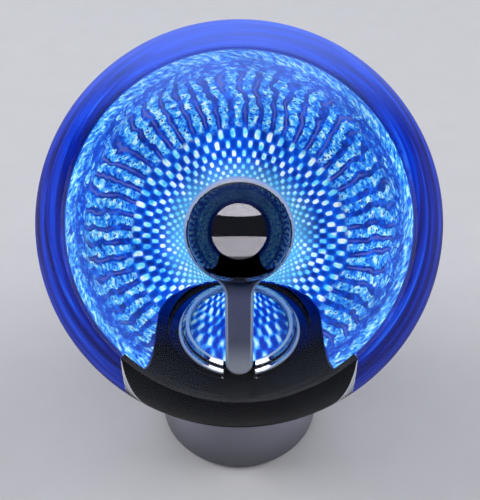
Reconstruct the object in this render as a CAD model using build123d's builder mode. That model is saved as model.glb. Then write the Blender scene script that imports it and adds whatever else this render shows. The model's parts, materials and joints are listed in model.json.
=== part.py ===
"""Plasma ball: a clear glass globe on a short round base.

Inside the globe a ball electrode stands on a leaning flat arm, whose foot sits in an insulating block
in a notch of a polished ring. The ring clamps a round window over blue lamps. A lattice bowl lines the
globe, and a black liner fills the bowl's cut-out round the ring. The base holds the high-voltage driver, the mode switch and the socket.
Millimetres, +Z up, the origin in the middle of the underside, and -Y is the front.
"""

import os
from math import atan2, cos, hypot, radians, sin, sqrt

from build123d import *

os.makedirs("parts", exist_ok=True)

# Globe
GLOBE_R = 100.0
GLOBE_WALL = 10.8
GLOBE_Z = 150.0
MOUTH_Z = 65.0
MOUTH_R = 42.4
MOUTH_BORE_H = 7.0

# Liners on the globe's wall, open towards the front: the lattice bowl, and black round the ring
BOWL_R = 89.15
BOWL_WALL = 1.6
BOWL_TILT = 41.0
BOWL_FORWARD = 52.0
CUTOUT_HALF_W = 48.5
CUTOUT_BACK = 38.8
LINER_GAP = 0.4

# Seal plate and cradle
CRADLE_FLOOR_Z, FLANGE_Z, SHOULDER_Z = 54.0, 59.0, 64.0
CRADLE_HOLE_R = 33.5
CRADLE_RECESS_R = 52.0
CRADLE_GAP = 0.5
CRADLE_LIP_R = 57.0
FLANGE_R = 51.2
BOSS_R = 42.0
BOSS_Z = 64.5
WELL_R = 27.5
TUBE_R = 32.0
TUBE_Z = 67.0
GASKET_W = 7.5

# Window and lamps
WINDOW_R = 31.0
WINDOW_T = 3.2
WINDOW_GASKET_T = 0.8
WINDOW_Z = TUBE_Z + WINDOW_GASKET_T
SPREADER_R = 31.8
SPREADER_T = 2.0
SPREADER_BOSS_R = 27.0
LED_BOARD_Z = 60.0
LED_BOARD_T = 1.6
LED_RING_R = 19.0
LED_COUNT = 12
LED_SIDE, LED_H = 5.0, 1.6
LENS_R = 2.0

# Polished ring
RING_IN_R = TUBE_R + 0.3
RING_OUT_R = 36.4
RING_LIP_R = 28.8
RING_LIP_Z = WINDOW_Z + WINDOW_T + 0.3
RING_TOP_Z = 75.2
APRON_T = 1.4
APRON_HALF_W = 10.2
APRON_FRONT = 38.3
NOTCH_HALF_W = 9.1

# Electrode arm
BALL_R = 26.2
HEAD_R = 28.2
ARM_FOOT = (0.0, -34.4, 75.1)
BALL_CENTRE = (0.0, -1.8, 147.2)
ARM_W, ARM_T = 15.0, 7.0
ARM_TOE = 4.0
ARM_EDGE_R = 1.8
NECK_R = 12.0
BLOCK_HALF_W = 8.9
BLOCK_FRONT, BLOCK_BACK = 37.6, 32.4
BLOCK_TOP_Z = 78.5
CHANNEL_GAP = 0.15

# Feed-through
PIN_R = 1.2
PIN_LOW_Z = 42.0
BEAD_R = 2.2
TUBE_CLEAR_R = 4.4
EXHAUST_X = 37.0
EXHAUST_R = 2.0
EXHAUST_LOW_Z = 46.0

# Base
FOOT_H, FOOT_R, FOOT_RING_R = 3.0, 6.0, 37.0
FOOT_RECESS = 0.8
PLATE_Z, PLATE_T, PLATE_R = 2.2, 3.0, 44.6
PLATE_TOP_Z = PLATE_Z + PLATE_T
SHELL_LOW_Z = 1.4
SHELL_R_LOW, SHELL_R_TOP = 47.5, 46.5
SHELL_INNER_R = 44.9
SHELL_TOP_INNER_R = 43.9
LEDGE_R, LEDGE_T = 42.2, 2.0
SHELL_EDGE_R = 3.0
POST_RING_R, POST_R, POST_HOLE_R = 36.0, 4.0, 1.4
DECK_Z, DECK_T = 50.5, 3.0
DECK_IN_R, DECK_OUT_R = 31.2, 43.5
CRADLE_SCREW_RING_R = 40.0
CRADLE_SCREW_ANGLES = (20.0, 160.0, 200.0, 340.0)
M3_R = 1.5
M3_HEAD_R, M3_HEAD_H = 2.8, 1.9
BASE_SCREW_TOP_Z = 16.0
VENT_COUNT = 3

# Driver board and what stands on it
BOARD_L, BOARD_W, BOARD_T, BOARD_Z = 50.0, 38.0, 1.6, 12.0
BOARD_TOP_Z = BOARD_Z + BOARD_T
BOARD_HOLE_X, BOARD_HOLE_Y = 22.0, 16.0
STANDOFF_R = 2.6
M2_R, M2_HEAD_R, M2_HEAD_H = 1.1, 2.1, 1.5
CORE_X = -4.0
CORE_W, CORE_H, CORE_T = 28.0, 28.0, 9.0
LEG_W, YOKE_H = 8.0, 7.0
SPOOL_X = CORE_X - (CORE_W - LEG_W) / 2
PRIMARY_X = CORE_X + (CORE_W - LEG_W) / 2
CORE_LOW_Z = BOARD_TOP_Z + 0.4
SPOOL_BORE_R = 6.2
SPOOL_CORE_R = 7.2
SPOOL_FLANGE_R = 9.6
SPOOL_H = CORE_H - 2 * YOKE_H - 0.8
SPOOL_Z = CORE_LOW_Z + YOKE_H + 0.4
SPOOL_WALL = 0.8
SPOOL_PITCH = (SPOOL_H - SPOOL_WALL) / 4
HV_EXIT_Z = SPOOL_Z + SPOOL_H - SPOOL_WALL - (SPOOL_PITCH - SPOOL_WALL) / 2
HV_LEAD_R = 1.1

# Rear panel and its controls
PANEL_HALF_W, PANEL_LOW_Z, PANEL_HIGH_Z = 18.8, 14.0, 30.0
PANEL_BACK_Y, PANEL_STEP_Y, PANEL_FRONT_Y = 37.6, 39.6, 42.5
PANEL_FLANGE = 1.7
WINDOW_GAP = 0.2
CONTROL_Z = 22.0
JACK_X, SWITCH_X, KNOB_X = 0.0, -12.5, 12.0
JACK_SNOUT_R, JACK_BORE_R, JACK_PIN_R = 3.9, 2.85, 1.0
JACK_BORE_DEPTH = 10.0
SWITCH_TRAVEL = 2.0
NUB_HALF_W, NUB_HALF_H = 1.8, 1.3
SHAFT_R = 3.0
BUSH_R = 3.6
KNOB_R = 6.4
KNOB_LOW_Y, KNOB_HIGH_Y = 45.0, 51.5

# Arm geometry worked out from the foot and the ball's centre
ARM_RISE = BALL_CENTRE[2] - ARM_FOOT[2]
ARM_BACK = BALL_CENTRE[1] - ARM_FOOT[1]
ARM_LEAN = atan2(ARM_BACK, ARM_RISE)
ARM_LENGTH = hypot(ARM_RISE, ARM_BACK)
ARM_PLANE = Plane(
    origin=ARM_FOOT, x_dir=(1, 0, 0), z_dir=(0, -cos(ARM_LEAN), sin(ARM_LEAN))
)


def write(piece, name):
    """Labels a finished piece and writes it as one STEP file."""
    piece.part.label = name
    export_step(piece.part, f"parts/{name}.step")


def under_sphere(radius, rho):
    """Height of the lower half of a sphere round the globe's centre, at rho from the axis."""
    return GLOBE_Z - sqrt(radius**2 - rho**2)


def rear_plane(y):
    """A plane facing +Y, whose own x runs along -X and own y along +Z."""
    return Plane(origin=(0, y, 0), x_dir=(-1, 0, 0), z_dir=(0, 1, 0))


def ring(low_z, height, outer_r, inner_r):
    """A plain flat ring."""
    with BuildPart() as flat_ring:
        with BuildSketch(Plane.XY.offset(low_z)):
            Circle(outer_r)
            Circle(inner_r, mode=Mode.SUBTRACT)
        extrude(amount=height)
    return flat_ring


def turned(points):
    """A solid of revolution about Z from (radius, height) corners."""
    with BuildPart() as turned_part:
        with BuildSketch(Plane.XZ):
            with BuildLine():
                Polyline(*points, close=True)
            make_face()
        revolve(axis=Axis.Z)
    return turned_part


def lead(points, radii, section_r):
    """A round lead along straight runs joined by tangent arcs."""
    with BuildPart() as wire:
        with BuildLine() as route:
            FilletPolyline(*points, radius=radii)
        with BuildSketch(Plane(origin=route.line @ 0, z_dir=route.line % 0)):
            Circle(section_r)
        sweep(path=route.line)
    return wire


# --- Feet, base plate and shell ---------------------------------------------------------------

with BuildPart() as rubber_feet:
    with BuildSketch():
        with PolarLocations(FOOT_RING_R, 4):
            Circle(FOOT_R)
    extrude(amount=FOOT_H)
    chamfer(rubber_feet.edges().group_by(Axis.Z)[0], 0.6)
write(rubber_feet, "rubber_feet")

with BuildPart() as base_plate:
    with BuildSketch(Plane.XY.offset(PLATE_Z)):
        Circle(PLATE_R)
        for vent in range(VENT_COUNT):
            with PolarLocations(8.0 + 6.0 * vent, 4, start_angle=45):
                SlotOverall(10.0, 2.4, rotation=90)
    extrude(amount=PLATE_T)
    with BuildSketch(Plane.XY.offset(PLATE_Z)):
        with PolarLocations(FOOT_RING_R, 4):
            Circle(FOOT_R + 0.1)
    extrude(amount=FOOT_RECESS, mode=Mode.SUBTRACT)
    with Locations(Plane(origin=(0, 0, PLATE_Z), z_dir=(0, 0, -1))):
        with PolarLocations(POST_RING_R, 4, start_angle=45):
            CounterBoreHole(M3_R + 0.15, M3_HEAD_R + 0.2, M3_HEAD_H - 0.3)
write(base_plate, "base_plate")

with BuildPart() as base_screws:
    with BuildSketch(Plane.XY.offset(PLATE_Z - 0.3)):
        with PolarLocations(POST_RING_R, 4, start_angle=45):
            Circle(M3_HEAD_R)
    extrude(amount=M3_HEAD_H)
    with BuildSketch(Plane.XY.offset(PLATE_Z - 0.3)):
        with PolarLocations(POST_RING_R, 4, start_angle=45):
            Rectangle(3.6, 0.8)
            Rectangle(0.8, 3.6)
    extrude(amount=0.9, mode=Mode.SUBTRACT)
    with BuildSketch(Plane.XY.offset(PLATE_Z - 0.3 + M3_HEAD_H)):
        with PolarLocations(POST_RING_R, 4, start_angle=45):
            Circle(POST_HOLE_R)
    extrude(amount=BASE_SCREW_TOP_Z - PLATE_Z + 0.3 - M3_HEAD_H)
write(base_screws, "base_screws")

with BuildPart() as base_shell:
    with BuildSketch(Plane.XZ):
        with BuildLine():
            Polyline(
                (PLATE_R + 0.2, SHELL_LOW_Z),
                (SHELL_R_LOW, SHELL_LOW_Z),
                (SHELL_R_TOP, CRADLE_FLOOR_Z),
                (SHELL_TOP_INNER_R, CRADLE_FLOOR_Z),
                (SHELL_TOP_INNER_R, CRADLE_FLOOR_Z - 6.0),
                (SHELL_INNER_R, CRADLE_FLOOR_Z - 10.0),
                (SHELL_INNER_R, PLATE_TOP_Z + LEDGE_T),
                (LEDGE_R, PLATE_TOP_Z + LEDGE_T),
                (LEDGE_R, PLATE_TOP_Z),
                (PLATE_R + 0.2, PLATE_TOP_Z),
                close=True,
            )
        make_face()
    revolve(axis=Axis.Z)
    low_rim = base_shell.edges().filter_by(GeomType.CIRCLE).group_by(Axis.Z)[0]
    fillet(low_rim.sort_by(SortBy.RADIUS)[-1], SHELL_EDGE_R - 0.6)
    with BuildSketch(rear_plane(PANEL_STEP_Y - 4)):
        with Locations((0, (PANEL_LOW_Z + PANEL_HIGH_Z) / 2)):
            Rectangle(
                2 * (PANEL_HALF_W + WINDOW_GAP),
                PANEL_HIGH_Z - PANEL_LOW_Z + 2 * WINDOW_GAP,
            )
    extrude(amount=20.0, mode=Mode.SUBTRACT)
write(base_shell, "base_shell")

# --- Chassis: a deck on four posts -------------------------------------------------------------

with BuildPart() as chassis:
    with BuildSketch(Plane.XY.offset(DECK_Z)):
        Circle(DECK_OUT_R)
        Circle(DECK_IN_R, mode=Mode.SUBTRACT)
        for angle in CRADLE_SCREW_ANGLES:
            with PolarLocations(CRADLE_SCREW_RING_R, 1, start_angle=angle):
                Circle(M3_R + 0.15, mode=Mode.SUBTRACT)
        with Locations((0, ARM_FOOT[1]), (-EXHAUST_X, 0)):
            Circle(TUBE_CLEAR_R, mode=Mode.SUBTRACT)
    extrude(amount=DECK_T)
    with BuildSketch(Plane.XY.offset(PLATE_TOP_Z)):
        with PolarLocations(POST_RING_R, 4, start_angle=45):
            Circle(POST_R)
    extrude(amount=DECK_Z - PLATE_TOP_Z)
    with BuildSketch(Plane.XY.offset(PLATE_TOP_Z)):
        with PolarLocations(POST_RING_R, 4, start_angle=45):
            Circle(POST_HOLE_R)
    extrude(amount=BASE_SCREW_TOP_Z - PLATE_TOP_Z + 1.0, mode=Mode.SUBTRACT)
write(chassis, "chassis")

# --- Cradle: the flared saucer that carries the globe --------------------------------------------

with BuildPart() as cradle:
    seat_r = GLOBE_R + CRADLE_GAP
    lip_z = under_sphere(seat_r, CRADLE_LIP_R)
    seat_mid = (CRADLE_RECESS_R + CRADLE_LIP_R) / 2
    with BuildSketch(Plane.XZ):
        with BuildLine():
            Polyline(
                (CRADLE_LIP_R + 2.6, lip_z - 0.6),
                (CRADLE_LIP_R + 1.2, lip_z + 0.5),
                (CRADLE_LIP_R, lip_z),
            )
            ThreePointArc(
                (CRADLE_LIP_R, lip_z),
                (seat_mid, under_sphere(seat_r, seat_mid)),
                (CRADLE_RECESS_R, under_sphere(seat_r, CRADLE_RECESS_R)),
            )
            Polyline(
                (CRADLE_RECESS_R, under_sphere(seat_r, CRADLE_RECESS_R)),
                (CRADLE_RECESS_R, FLANGE_Z),
                (CRADLE_HOLE_R, FLANGE_Z),
                (CRADLE_HOLE_R, CRADLE_FLOOR_Z),
                (SHELL_R_TOP, CRADLE_FLOOR_Z),
            )
            ThreePointArc(
                (SHELL_R_TOP, CRADLE_FLOOR_Z),
                (57.2, 59.6),
                (CRADLE_LIP_R + 2.6, lip_z - 0.6),
            )
        make_face()
    revolve(axis=Axis.Z)
    with BuildSketch(Plane.XY.offset(CRADLE_FLOOR_Z)):
        for angle in CRADLE_SCREW_ANGLES:
            with PolarLocations(CRADLE_SCREW_RING_R, 1, start_angle=angle):
                Circle(M3_R + 0.15)
        with Locations((0, ARM_FOOT[1]), (-EXHAUST_X, 0)):
            Circle(TUBE_CLEAR_R)
    extrude(amount=FLANGE_Z - CRADLE_FLOOR_Z, mode=Mode.SUBTRACT)
write(cradle, "cradle")

with BuildPart() as cradle_screws:
    for angle in CRADLE_SCREW_ANGLES:
        with BuildSketch(Plane.XY.offset(DECK_Z - M3_HEAD_H)):
            with PolarLocations(CRADLE_SCREW_RING_R, 1, start_angle=angle):
                Circle(M3_HEAD_R)
        extrude(amount=M3_HEAD_H)
        with BuildSketch(Plane.XY.offset(DECK_Z)):
            with PolarLocations(CRADLE_SCREW_RING_R, 1, start_angle=angle):
                Circle(M3_R)
        extrude(amount=SHOULDER_Z - 1.0 - DECK_Z)
write(cradle_screws, "cradle_screws")

# --- Seal plate, gasket and globe -----------------------------------------------------------------

with BuildPart() as seal_plate:
    with BuildSketch(Plane.XZ):
        with BuildLine():
            Polyline(
                (WELL_R, FLANGE_Z),
                (FLANGE_R, FLANGE_Z),
                (FLANGE_R, SHOULDER_Z),
                (BOSS_R, SHOULDER_Z),
                (BOSS_R, BOSS_Z),
                (TUBE_R, BOSS_Z),
                (TUBE_R, TUBE_Z),
                (WELL_R, TUBE_Z),
                close=True,
            )
        make_face()
    revolve(axis=Axis.Z)
    with BuildSketch(Plane.XY.offset(FLANGE_Z)):
        for angle in CRADLE_SCREW_ANGLES:
            with PolarLocations(CRADLE_SCREW_RING_R, 1, start_angle=angle):
                Circle(M3_R)
    extrude(amount=SHOULDER_Z - 1.0 - FLANGE_Z, mode=Mode.SUBTRACT)
    with BuildSketch(Plane.XY.offset(FLANGE_Z)):
        with Locations((0, ARM_FOOT[1])):
            Circle(BEAD_R)
        with Locations((-EXHAUST_X, 0)):
            Circle(EXHAUST_R)
    extrude(amount=BOSS_Z - FLANGE_Z, mode=Mode.SUBTRACT)
    with BuildSketch(Plane.XY.offset(FLANGE_Z)):
        with PolarLocations(30.0, 3, start_angle=30):
            Circle(M2_R)
    extrude(amount=4.0, mode=Mode.SUBTRACT)
write(seal_plate, "seal_plate")

globe_gasket = ring(SHOULDER_Z, MOUTH_Z - SHOULDER_Z, MOUTH_R + GASKET_W, MOUTH_R + 0.2)
write(globe_gasket, "globe_gasket")

with BuildPart() as globe:
    with BuildSketch(Plane.XZ):
        with Locations((0, GLOBE_Z)):
            Circle(GLOBE_R)
            Circle(GLOBE_R - GLOBE_WALL, mode=Mode.SUBTRACT)
        with Locations((0, MOUTH_Z)):
            Rectangle(
                2 * GLOBE_R,
                3 * GLOBE_R,
                align=(Align.MIN, Align.MIN),
                mode=Mode.INTERSECT,
            )
            Rectangle(
                MOUTH_R,
                MOUTH_BORE_H,
                align=(Align.MIN, Align.MIN),
                mode=Mode.SUBTRACT,
            )
    revolve(axis=Axis.Z)
write(globe, "globe")

with BuildPart() as exhaust_tube:
    with BuildSketch(Plane.XY.offset(EXHAUST_LOW_Z)):
        with Locations((-EXHAUST_X, 0)):
            Circle(EXHAUST_R)
    extrude(amount=BOSS_Z - EXHAUST_LOW_Z)
    with BuildSketch(Plane.XY.offset(EXHAUST_LOW_Z + 4.0)):
        with Locations((-EXHAUST_X, 0)):
            Circle(EXHAUST_R - 0.8)
    extrude(amount=BOSS_Z - EXHAUST_LOW_Z, mode=Mode.SUBTRACT)
    chamfer(exhaust_tube.edges().group_by(Axis.Z)[0], 1.5, 0.9)
write(exhaust_tube, "exhaust_tube")

# --- Lattice bowl ---------------------------------------------------------------------------------


def liner_shell():
    """The thin shell on the globe's wall, cut off by the plane of the front opening."""
    with BuildPart() as shell:
        with Locations((0, 0, GLOBE_Z)):
            Sphere(BOWL_R)
            Sphere(BOWL_R - BOWL_WALL, mode=Mode.SUBTRACT)
        tilt = radians(BOWL_TILT)
        split(
            bisect_by=Plane(
                origin=(0, 0, GLOBE_Z), z_dir=(0, -cos(tilt), sin(tilt))
            ).offset(BOWL_FORWARD),
            keep=Keep.BOTTOM,
        )
    return shell.part


def horseshoe(inset):
    """Plan outline of the cut-out: an oval at the back, open towards the front."""
    Ellipse(CUTOUT_HALF_W - inset, CUTOUT_BACK - inset)
    Rectangle(
        2 * (CUTOUT_HALF_W - inset), 2 * BOWL_R, align=(Align.CENTER, Align.MAX)
    )


with BuildPart() as lattice_bowl:
    add(liner_shell())
    with BuildSketch(Plane.XY.offset(GLOBE_Z - BOWL_R - 5)):
        horseshoe(0.0)
    extrude(amount=BOWL_R, mode=Mode.SUBTRACT)
write(lattice_bowl, "lattice_bowl")

with BuildPart() as black_liner:
    add(liner_shell())
    with BuildSketch(Plane.XY.offset(GLOBE_Z - BOWL_R - 5)):
        horseshoe(LINER_GAP)
        Circle(MOUTH_R + LINER_GAP, mode=Mode.SUBTRACT)
    extrude(amount=BOWL_R, mode=Mode.INTERSECT)
write(black_liner, "black_liner")

# --- Polished ring, window and lamps ---------------------------------------------------------------

with BuildPart() as bezel_ring:
    with BuildSketch(Plane.XZ):
        with BuildLine():
            Polyline(
                (RING_LIP_R, RING_LIP_Z + 1.0),
                (RING_LIP_R, RING_LIP_Z),
                (RING_IN_R, RING_LIP_Z),
                (RING_IN_R, BOSS_Z),
                (RING_OUT_R, BOSS_Z),
                (RING_OUT_R, BOSS_Z + APRON_T),
            )
            ThreePointArc(
                (RING_OUT_R, BOSS_Z + APRON_T), (36.35, 67.9), (35.8, 69.1)
            )
            Line((35.8, 69.1), (33.7, 69.95))
            ThreePointArc((33.7, 69.95), (34.0, 71.9), (33.4, 73.9))
            Line((33.4, 73.9), (30.9, 74.9))
            ThreePointArc(
                (30.9, 74.9), (29.6, 74.2), (RING_LIP_R, RING_LIP_Z + 1.0)
            )
        make_face()
    revolve(axis=Axis.Z)
    with BuildSketch(Plane.XY.offset(BOSS_Z)) as apron:
        with Locations((0, -(RING_IN_R + 0.6))):
            Rectangle(
                2 * APRON_HALF_W,
                APRON_FRONT - RING_IN_R - 0.6,
                align=(Align.CENTER, Align.MAX),
            )
        fillet(apron.vertices().group_by(Axis.Y)[0], 2.5)
    extrude(amount=APRON_T)
    with BuildSketch(Plane.XY.offset(BOSS_Z + APRON_T)):
        with Locations((0, -BLOCK_BACK + 0.15)):
            Rectangle(2 * NOTCH_HALF_W, 20.0, align=(Align.CENTER, Align.MAX))
    extrude(amount=RING_TOP_Z, mode=Mode.SUBTRACT)
    with BuildSketch(Plane.XY.offset(RING_LIP_Z)):
        with Locations((0, -RING_LIP_R + 3.0)):
            Rectangle(2 * NOTCH_HALF_W, 20.0, align=(Align.CENTER, Align.MAX))
    extrude(amount=RING_TOP_Z, mode=Mode.SUBTRACT)
    with BuildSketch(Plane.XY.offset(BOSS_Z)):
        with Locations((0, ARM_FOOT[1])):
            Circle(BEAD_R + 0.2)
    extrude(amount=APRON_T, mode=Mode.SUBTRACT)
write(bezel_ring, "bezel_ring")

window_gasket = ring(TUBE_Z, WINDOW_GASKET_T, WINDOW_R, WELL_R + 0.5)
write(window_gasket, "window_gasket")

with BuildPart() as lamp_window:
    with BuildSketch(Plane.XY.offset(WINDOW_Z)):
        Circle(WINDOW_R)
    extrude(amount=WINDOW_T)
    chamfer(lamp_window.edges().filter_by(GeomType.CIRCLE), 0.3)
write(lamp_window, "lamp_window")

LED_WIRE_SPOTS = ((-4.0, 12.0), (4.0, 12.0))

with BuildPart() as heat_spreader:
    with BuildSketch(Plane.XY.offset(FLANGE_Z - SPREADER_T)):
        Circle(SPREADER_R)
    extrude(amount=SPREADER_T)
    with BuildSketch(Plane.XY.offset(FLANGE_Z)):
        Circle(SPREADER_BOSS_R)
    extrude(amount=LED_BOARD_Z - FLANGE_Z)
    with BuildSketch(Plane.XY.offset(FLANGE_Z - SPREADER_T)):
        with PolarLocations(30.0, 3, start_angle=30):
            Circle(M2_R + 0.1)
        with Locations(*LED_WIRE_SPOTS):
            Circle(1.2)
    extrude(amount=LED_BOARD_Z, mode=Mode.SUBTRACT)
write(heat_spreader, "heat_spreader")

with BuildPart() as spreader_screws:
    with BuildSketch(Plane.XY.offset(FLANGE_Z - SPREADER_T - M2_HEAD_H)):
        with PolarLocations(30.0, 3, start_angle=30):
            Circle(M2_HEAD_R)
    extrude(amount=M2_HEAD_H)
    with BuildSketch(Plane.XY.offset(FLANGE_Z - SPREADER_T)):
        with PolarLocations(30.0, 3, start_angle=30):
            Circle(M2_R)
    extrude(amount=SPREADER_T + 3.5)
write(spreader_screws, "spreader_screws")

with BuildPart() as led_board:
    with BuildSketch(Plane.XY.offset(LED_BOARD_Z)):
        Circle(SPREADER_BOSS_R)
        Circle(6.0, mode=Mode.SUBTRACT)
    extrude(amount=LED_BOARD_T)
write(led_board, "led_board")

with BuildPart() as blue_leds:
    with BuildSketch(Plane.XY.offset(LED_BOARD_Z + LED_BOARD_T)):
        with PolarLocations(LED_RING_R, LED_COUNT):
            Rectangle(LED_SIDE, LED_SIDE)
    extrude(amount=LED_H)
    with BuildSketch(Plane.XY.offset(LED_BOARD_Z + LED_BOARD_T + LED_H)):
        with PolarLocations(LED_RING_R, LED_COUNT):
            Circle(LENS_R)
    extrude(amount=0.8, taper=30)
write(blue_leds, "blue_leds")

# --- Electrode arm, its block and its feed-through -----------------------------------------------

with BuildPart() as electrode_arm:
    with BuildSketch(ARM_PLANE.offset(-ARM_T / 2)) as outline:
        with Locations((0, (ARM_LENGTH - ARM_TOE + ARM_W / 2) / 2)):
            Rectangle(ARM_W, ARM_LENGTH + ARM_TOE - ARM_W / 2)
        with Locations((0, ARM_LENGTH)):
            Circle(HEAD_R)
        inner_corners = outline.vertices().filter_by(
            lambda v: abs(abs(ARM_PLANE.to_local_coords(v).X) - ARM_W / 2) < 0.01
        )
        fillet(
            inner_corners.sort_by(
                lambda v: ARM_PLANE.to_local_coords(v).Y
            )[-2:],
            NECK_R,
        )
        with Locations((0, ARM_W / 2 - ARM_TOE)):
            Circle(ARM_W / 2)
    extrude(amount=ARM_T)
    fillet(
        electrode_arm.edges().filter_by(
            lambda e: abs(abs(ARM_PLANE.to_local_coords(e.center()).Z) - ARM_T / 2) < 0.01
        ),
        ARM_EDGE_R,
    )
    with Locations(BALL_CENTRE):
        Sphere(BALL_R)
    with BuildSketch(Plane.XY.offset(ARM_FOOT[2] - 8.0)):
        with Locations((0, ARM_FOOT[1])):
            Circle(PIN_R)
    extrude(amount=9.0, mode=Mode.SUBTRACT)
write(electrode_arm, "electrode_arm")

with BuildPart() as slot_block:
    with BuildSketch(Plane.XY.offset(BOSS_Z + APRON_T)):
        with Locations((0, -(BLOCK_FRONT + BLOCK_BACK) / 2)):
            Rectangle(2 * BLOCK_HALF_W, BLOCK_FRONT - BLOCK_BACK)
    extrude(amount=BLOCK_TOP_Z - BOSS_Z - APRON_T)
    fillet(slot_block.edges().filter_by(Axis.Z).sort_by(Axis.Y)[:2], 1.2)
    with BuildSketch(ARM_PLANE.offset(-ARM_T / 2 - CHANNEL_GAP)):
        with Locations((0, ARM_W / 2 - ARM_TOE)):
            Circle(ARM_W / 2 + CHANNEL_GAP)
        with Locations((0, ARM_W / 2 - ARM_TOE)):
            Rectangle(
                ARM_W + 2 * CHANNEL_GAP, 30.0, align=(Align.CENTER, Align.MIN)
            )
    extrude(amount=20.0, mode=Mode.SUBTRACT)
    with BuildSketch(Plane.XY.offset(BOSS_Z)):
        with Locations((0, ARM_FOOT[1])):
            Circle(PIN_R + 0.1)
    extrude(amount=12.0, mode=Mode.SUBTRACT)
write(slot_block, "slot_block")

with BuildPart() as feedthrough_bead:
    with BuildSketch(Plane.XY.offset(FLANGE_Z - 3.0)):
        with Locations((0, ARM_FOOT[1])):
            Circle(BEAD_R)
            Circle(PIN_R, mode=Mode.SUBTRACT)
    extrude(amount=BOSS_Z + APRON_T - FLANGE_Z + 3.0)
write(feedthrough_bead, "feedthrough_bead")

with BuildPart() as feedthrough_pin:
    with BuildSketch(Plane.XY.offset(PIN_LOW_Z)):
        with Locations((0, ARM_FOOT[1])):
            Circle(PIN_R)
    extrude(amount=ARM_FOOT[2] - PIN_LOW_Z)
write(feedthrough_pin, "feedthrough_pin")

with BuildPart() as terminal_nut:
    with BuildSketch(Plane.XY.offset(PIN_LOW_Z + 4.0)):
        with Locations((0, ARM_FOOT[1])):
            RegularPolygon(2.6, 6, major_radius=False)
            Circle(PIN_R, mode=Mode.SUBTRACT)
    extrude(amount=2.2)
write(terminal_nut, "terminal_nut")

with BuildPart() as terminal_lug:
    with BuildSketch(Plane.XY.offset(PIN_LOW_Z + 3.2)):
        with Locations((0, ARM_FOOT[1])):
            Circle(2.8)
            Rectangle(2.4, 8.0, align=(Align.CENTER, Align.MIN))
            Circle(PIN_R, mode=Mode.SUBTRACT)
    extrude(amount=0.8)
write(terminal_lug, "terminal_lug")

# --- Driver board ---------------------------------------------------------------------------------

with BuildPart() as driver_board:
    with BuildSketch(Plane.XY.offset(BOARD_Z)):
        RectangleRounded(BOARD_L, BOARD_W, 2.0)
        with GridLocations(2 * BOARD_HOLE_X, 2 * BOARD_HOLE_Y, 2, 2):
            Circle(M2_R + 0.1, mode=Mode.SUBTRACT)
    extrude(amount=BOARD_T)
write(driver_board, "driver_board")

with BuildPart() as board_standoffs:
    with BuildSketch(Plane.XY.offset(PLATE_TOP_Z)):
        with GridLocations(2 * BOARD_HOLE_X, 2 * BOARD_HOLE_Y, 2, 2):
            RegularPolygon(STANDOFF_R, 6, major_radius=False)
            Circle(M2_R, mode=Mode.SUBTRACT)
    extrude(amount=BOARD_Z - PLATE_TOP_Z)
write(board_standoffs, "board_standoffs")

with BuildPart() as board_screws:
    with BuildSketch(Plane.XY.offset(BOARD_TOP_Z)):
        with GridLocations(2 * BOARD_HOLE_X, 2 * BOARD_HOLE_Y, 2, 2):
            Circle(M2_HEAD_R)
    extrude(amount=M2_HEAD_H)
    with BuildSketch(Plane.XY.offset(BOARD_TOP_Z)):
        with GridLocations(2 * BOARD_HOLE_X, 2 * BOARD_HOLE_Y, 2, 2):
            Circle(M2_R)
    extrude(amount=-6.0)
write(board_screws, "board_screws")

with BuildPart() as flyback_core:
    with BuildSketch(Plane.XZ.offset(-CORE_T / 2)):
        with Locations((CORE_X, CORE_LOW_Z)):
            Rectangle(CORE_W, CORE_H, align=(Align.CENTER, Align.MIN))
        with Locations((CORE_X, CORE_LOW_Z + YOKE_H)):
            Rectangle(
                CORE_W - 2 * LEG_W,
                CORE_H - 2 * YOKE_H,
                align=(Align.CENTER, Align.MIN),
                mode=Mode.SUBTRACT,
            )
    extrude(amount=CORE_T)
    chamfer(flyback_core.edges().filter_by(Axis.Y), 0.6)
write(flyback_core, "flyback_core")

with BuildPart() as flyback_bobbin:
    with BuildSketch(Plane.XY.offset(SPOOL_Z)):
        with Locations((SPOOL_X, 0)):
            Circle(SPOOL_CORE_R)
    extrude(amount=SPOOL_H)
    for section in range(5):
        with BuildSketch(Plane.XY.offset(SPOOL_Z + section * SPOOL_PITCH)):
            with Locations((SPOOL_X, 0)):
                Circle(SPOOL_FLANGE_R)
        extrude(amount=SPOOL_WALL)
    with BuildSketch(Plane.XY.offset(SPOOL_Z)):
        with Locations((SPOOL_X, 0)):
            Rectangle(LEG_W + 0.4, CORE_T + 0.4)
    extrude(amount=SPOOL_H, mode=Mode.SUBTRACT)
write(flyback_bobbin, "flyback_bobbin")

with BuildPart() as secondary_winding:
    for section in range(4):
        with BuildSketch(Plane.XY.offset(SPOOL_Z + section * SPOOL_PITCH + SPOOL_WALL)):
            with Locations((SPOOL_X, 0)):
                Circle(SPOOL_FLANGE_R - 0.7)
                Circle(SPOOL_CORE_R, mode=Mode.SUBTRACT)
        extrude(amount=SPOOL_PITCH - SPOOL_WALL)
write(secondary_winding, "secondary_winding")

with BuildPart() as primary_winding:
    with BuildSketch(Plane.XY.offset(CORE_LOW_Z + YOKE_H + 1.0)):
        with Locations((PRIMARY_X, 0)):
            RectangleRounded(LEG_W + 2.6, CORE_T + 2.6, 1.2)
            Rectangle(LEG_W + 0.2, CORE_T + 0.2, mode=Mode.SUBTRACT)
    extrude(amount=CORE_H - 2 * YOKE_H - 2.0)
write(primary_winding, "primary_winding")

HEATSINK_X = 19.5

with BuildPart() as heatsink:
    with BuildSketch(Plane.XY.offset(BOARD_TOP_Z)):
        with Locations((HEATSINK_X, 0)):
            Rectangle(1.6, 20.0)
        with GridLocations(0, 4.6, 1, 5):
            with Locations((HEATSINK_X + 0.7, 0)):
                Rectangle(5.0, 1.0, align=(Align.MIN, Align.CENTER))
    extrude(amount=22.0)
write(heatsink, "heatsink")

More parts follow.
